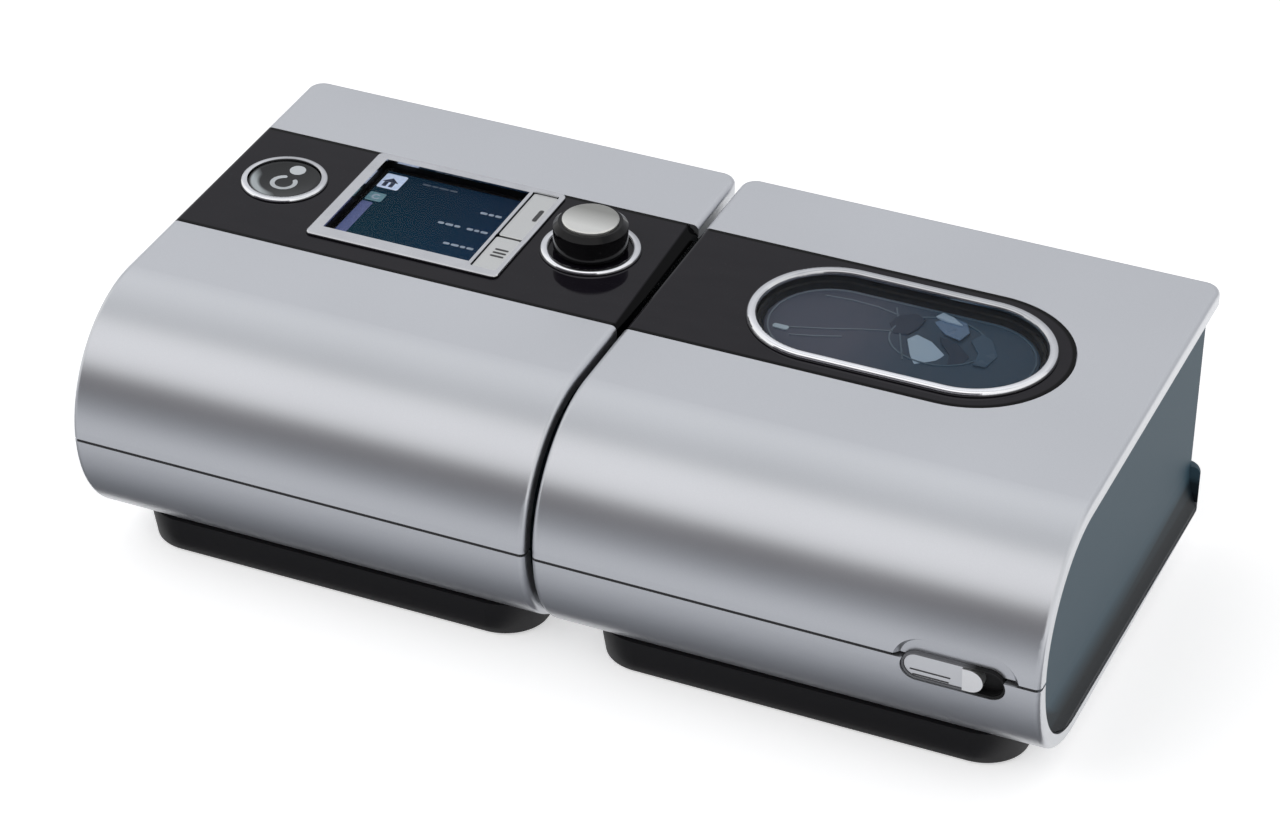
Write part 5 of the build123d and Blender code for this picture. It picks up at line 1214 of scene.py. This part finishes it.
# %% Room
ROOM_LIGHT = 0.68
world = bpy.data.worlds.new("white_room")
world.use_nodes = True
bpy.context.scene.world = world
room = Graph(world.node_tree)
background = world.node_tree.nodes["Background"]
background.inputs["Color"].default_value = (1, 1, 1, 1)
room.plug(background.inputs["Strength"], seen(room) * (1 - ROOM_LIGHT) + ROOM_LIGHT)
print("room light", ROOM_LIGHT)

# %% [markdown]
# ## The softbox
#
# One large softbox at the front left gives the machine its shape and its shadow. It doesn't
# show in mirrors, which see the cards of the next step instead.

# %% Softbox
BOX_PLACE, BOX_TARGET = Vector((-0.95, -1.25, 1.5)), Vector((0, 0, 0.04))
BOX_SIZE, BOX_POWER = (1.5, 1.0), 8.0
lamp_data = bpy.data.lights.new("front_left_box", "AREA")
lamp_data.shape = "RECTANGLE"
lamp_data.size, lamp_data.size_y = BOX_SIZE
lamp_data.energy = BOX_POWER
lamp = bpy.data.objects.new("front_left_box", lamp_data)
lamp.location = BOX_PLACE
lamp.rotation_euler = (BOX_TARGET - BOX_PLACE).to_track_quat("-Z", "Y").to_euler()
lamp.visible_glossy = False
bpy.context.scene.collection.objects.link(lamp)
print("softbox", round((BOX_TARGET - BOX_PLACE).length, 2), "m from the machine")

# %% [markdown]
# ## Cards for the mirrors
#
# Silver paint shows what stands around it, so the look of the rolled fronts is made by what
# they mirror: a bright card high at the front for the light stripe, a black one below it for
# the dark stripe, a grey ceiling and a grey wall behind for the even tops, and a card on the
# table that is bright a hand's breadth before the machine and black right at it. Mirrors alone
# see these cards, so they throw no shade and light nothing.

# %% Cards for the mirrors
CARD_GLOW = 1.3
HIDDEN_FROM = ("camera", "diffuse", "transmission", "volume_scatter", "shadow")


def card(name, across, foot, head, axis, stops):
    """A glowing card from its foot's Y and Z to its head's. Its stops are pairs of (mm, tone)."""
    finish = Finish(
        name, Roughness=1.0, Specular_IOR_Level=0.0, Base_Color=(0, 0, 0, 1), Emission_Strength=CARD_GLOW
    )
    start, end = stops[0][0], stops[-1][0]
    tones = [((at - start) / (end - start), (*[t / CARD_GLOW for t in tone], 1)) for at, tone in stops]
    share = finish.ramp(finish.along(axis), start, end)
    finish.feed(Emission_Color=finish.node("ShaderNodeValToRGB", {"stops": tones}, {"Fac": share}))
    left, right = across
    corners = [(left, *foot), (right, *foot), (right, *head), (left, *head)]
    mesh = bpy.data.meshes.new(name)
    mesh.from_pydata(corners, [], [(0, 1, 2, 3)])
    mesh.materials.append(finish.material)
    sheet = bpy.data.objects.new(name, mesh)
    for ray in HIDDEN_FROM:
        setattr(sheet, "visible_" + ray, False)
    bpy.context.scene.collection.objects.link(sheet)


card(
    "front_black", across=(-2.2, 1.1), foot=(-1.5, 0.0), head=(-1.5, 0.86), axis="Z", stops=[
        (0, (0.24, 0.25, 0.27)), (350, (0.10, 0.09, 0.10)), (700, (0.10, 0.09, 0.10)),
        (860, (0.5, 0.5, 0.5)),
    ],
)
card(
    "front_bright", across=(-2.4, 1.3), foot=(-1.5, 1.08), head=(-0.68, 1.75), axis="X", stops=[
        (-2400, (1.1, 1.1, 1.12)), (1300, (1.22, 1.2, 1.2)),
    ],
)
card(
    "ceiling_grey", across=(-2.0, 2.0), foot=(-0.5, 1.9), head=(1.2, 1.9), axis="Y", stops=[
        (-500, (0.66, 0.67, 0.69)), (0, (0.72, 0.73, 0.75)), (300, (0.86, 0.87, 0.89)),
        (1200, (1.02, 1.03, 1.05)),
    ],
)
card(
    "back_grey", across=(-2.6, 2.0), foot=(1.5, 0.0), head=(1.5, 2.2), axis="Z", stops=[
        (0, (0.62, 0.63, 0.66)), (1000, (0.72, 0.73, 0.76)), (1500, (0.9, 0.91, 0.94)),
        (2200, (1.02, 1.03, 1.05)),
    ],
)
# Painted shade: the table card turns black at the machine's foot, as the table's shadow there.
card(
    "table_shade", across=(-1.5, 0.4), foot=(-1.4, 0.0015), head=(-0.0595, 0.0015), axis="Y", stops=[
        (-1400, (0.24, 0.25, 0.27)), (-400, (0.36, 0.37, 0.4)), (-250, (0.58, 0.59, 0.62)),
        (-150, (0.76, 0.77, 0.8)), (-110, (0.62, 0.63, 0.66)), (-90, (0.42, 0.43, 0.46)),
        (-76, (0.2, 0.21, 0.23)), (-59.5, (0.07, 0.07, 0.08)),
    ],
)

# %% [markdown]
# ## Closing
#
# The colours go to the screen without a film look.

# %% Close
bpy.context.scene.view_settings.view_transform = "Standard"
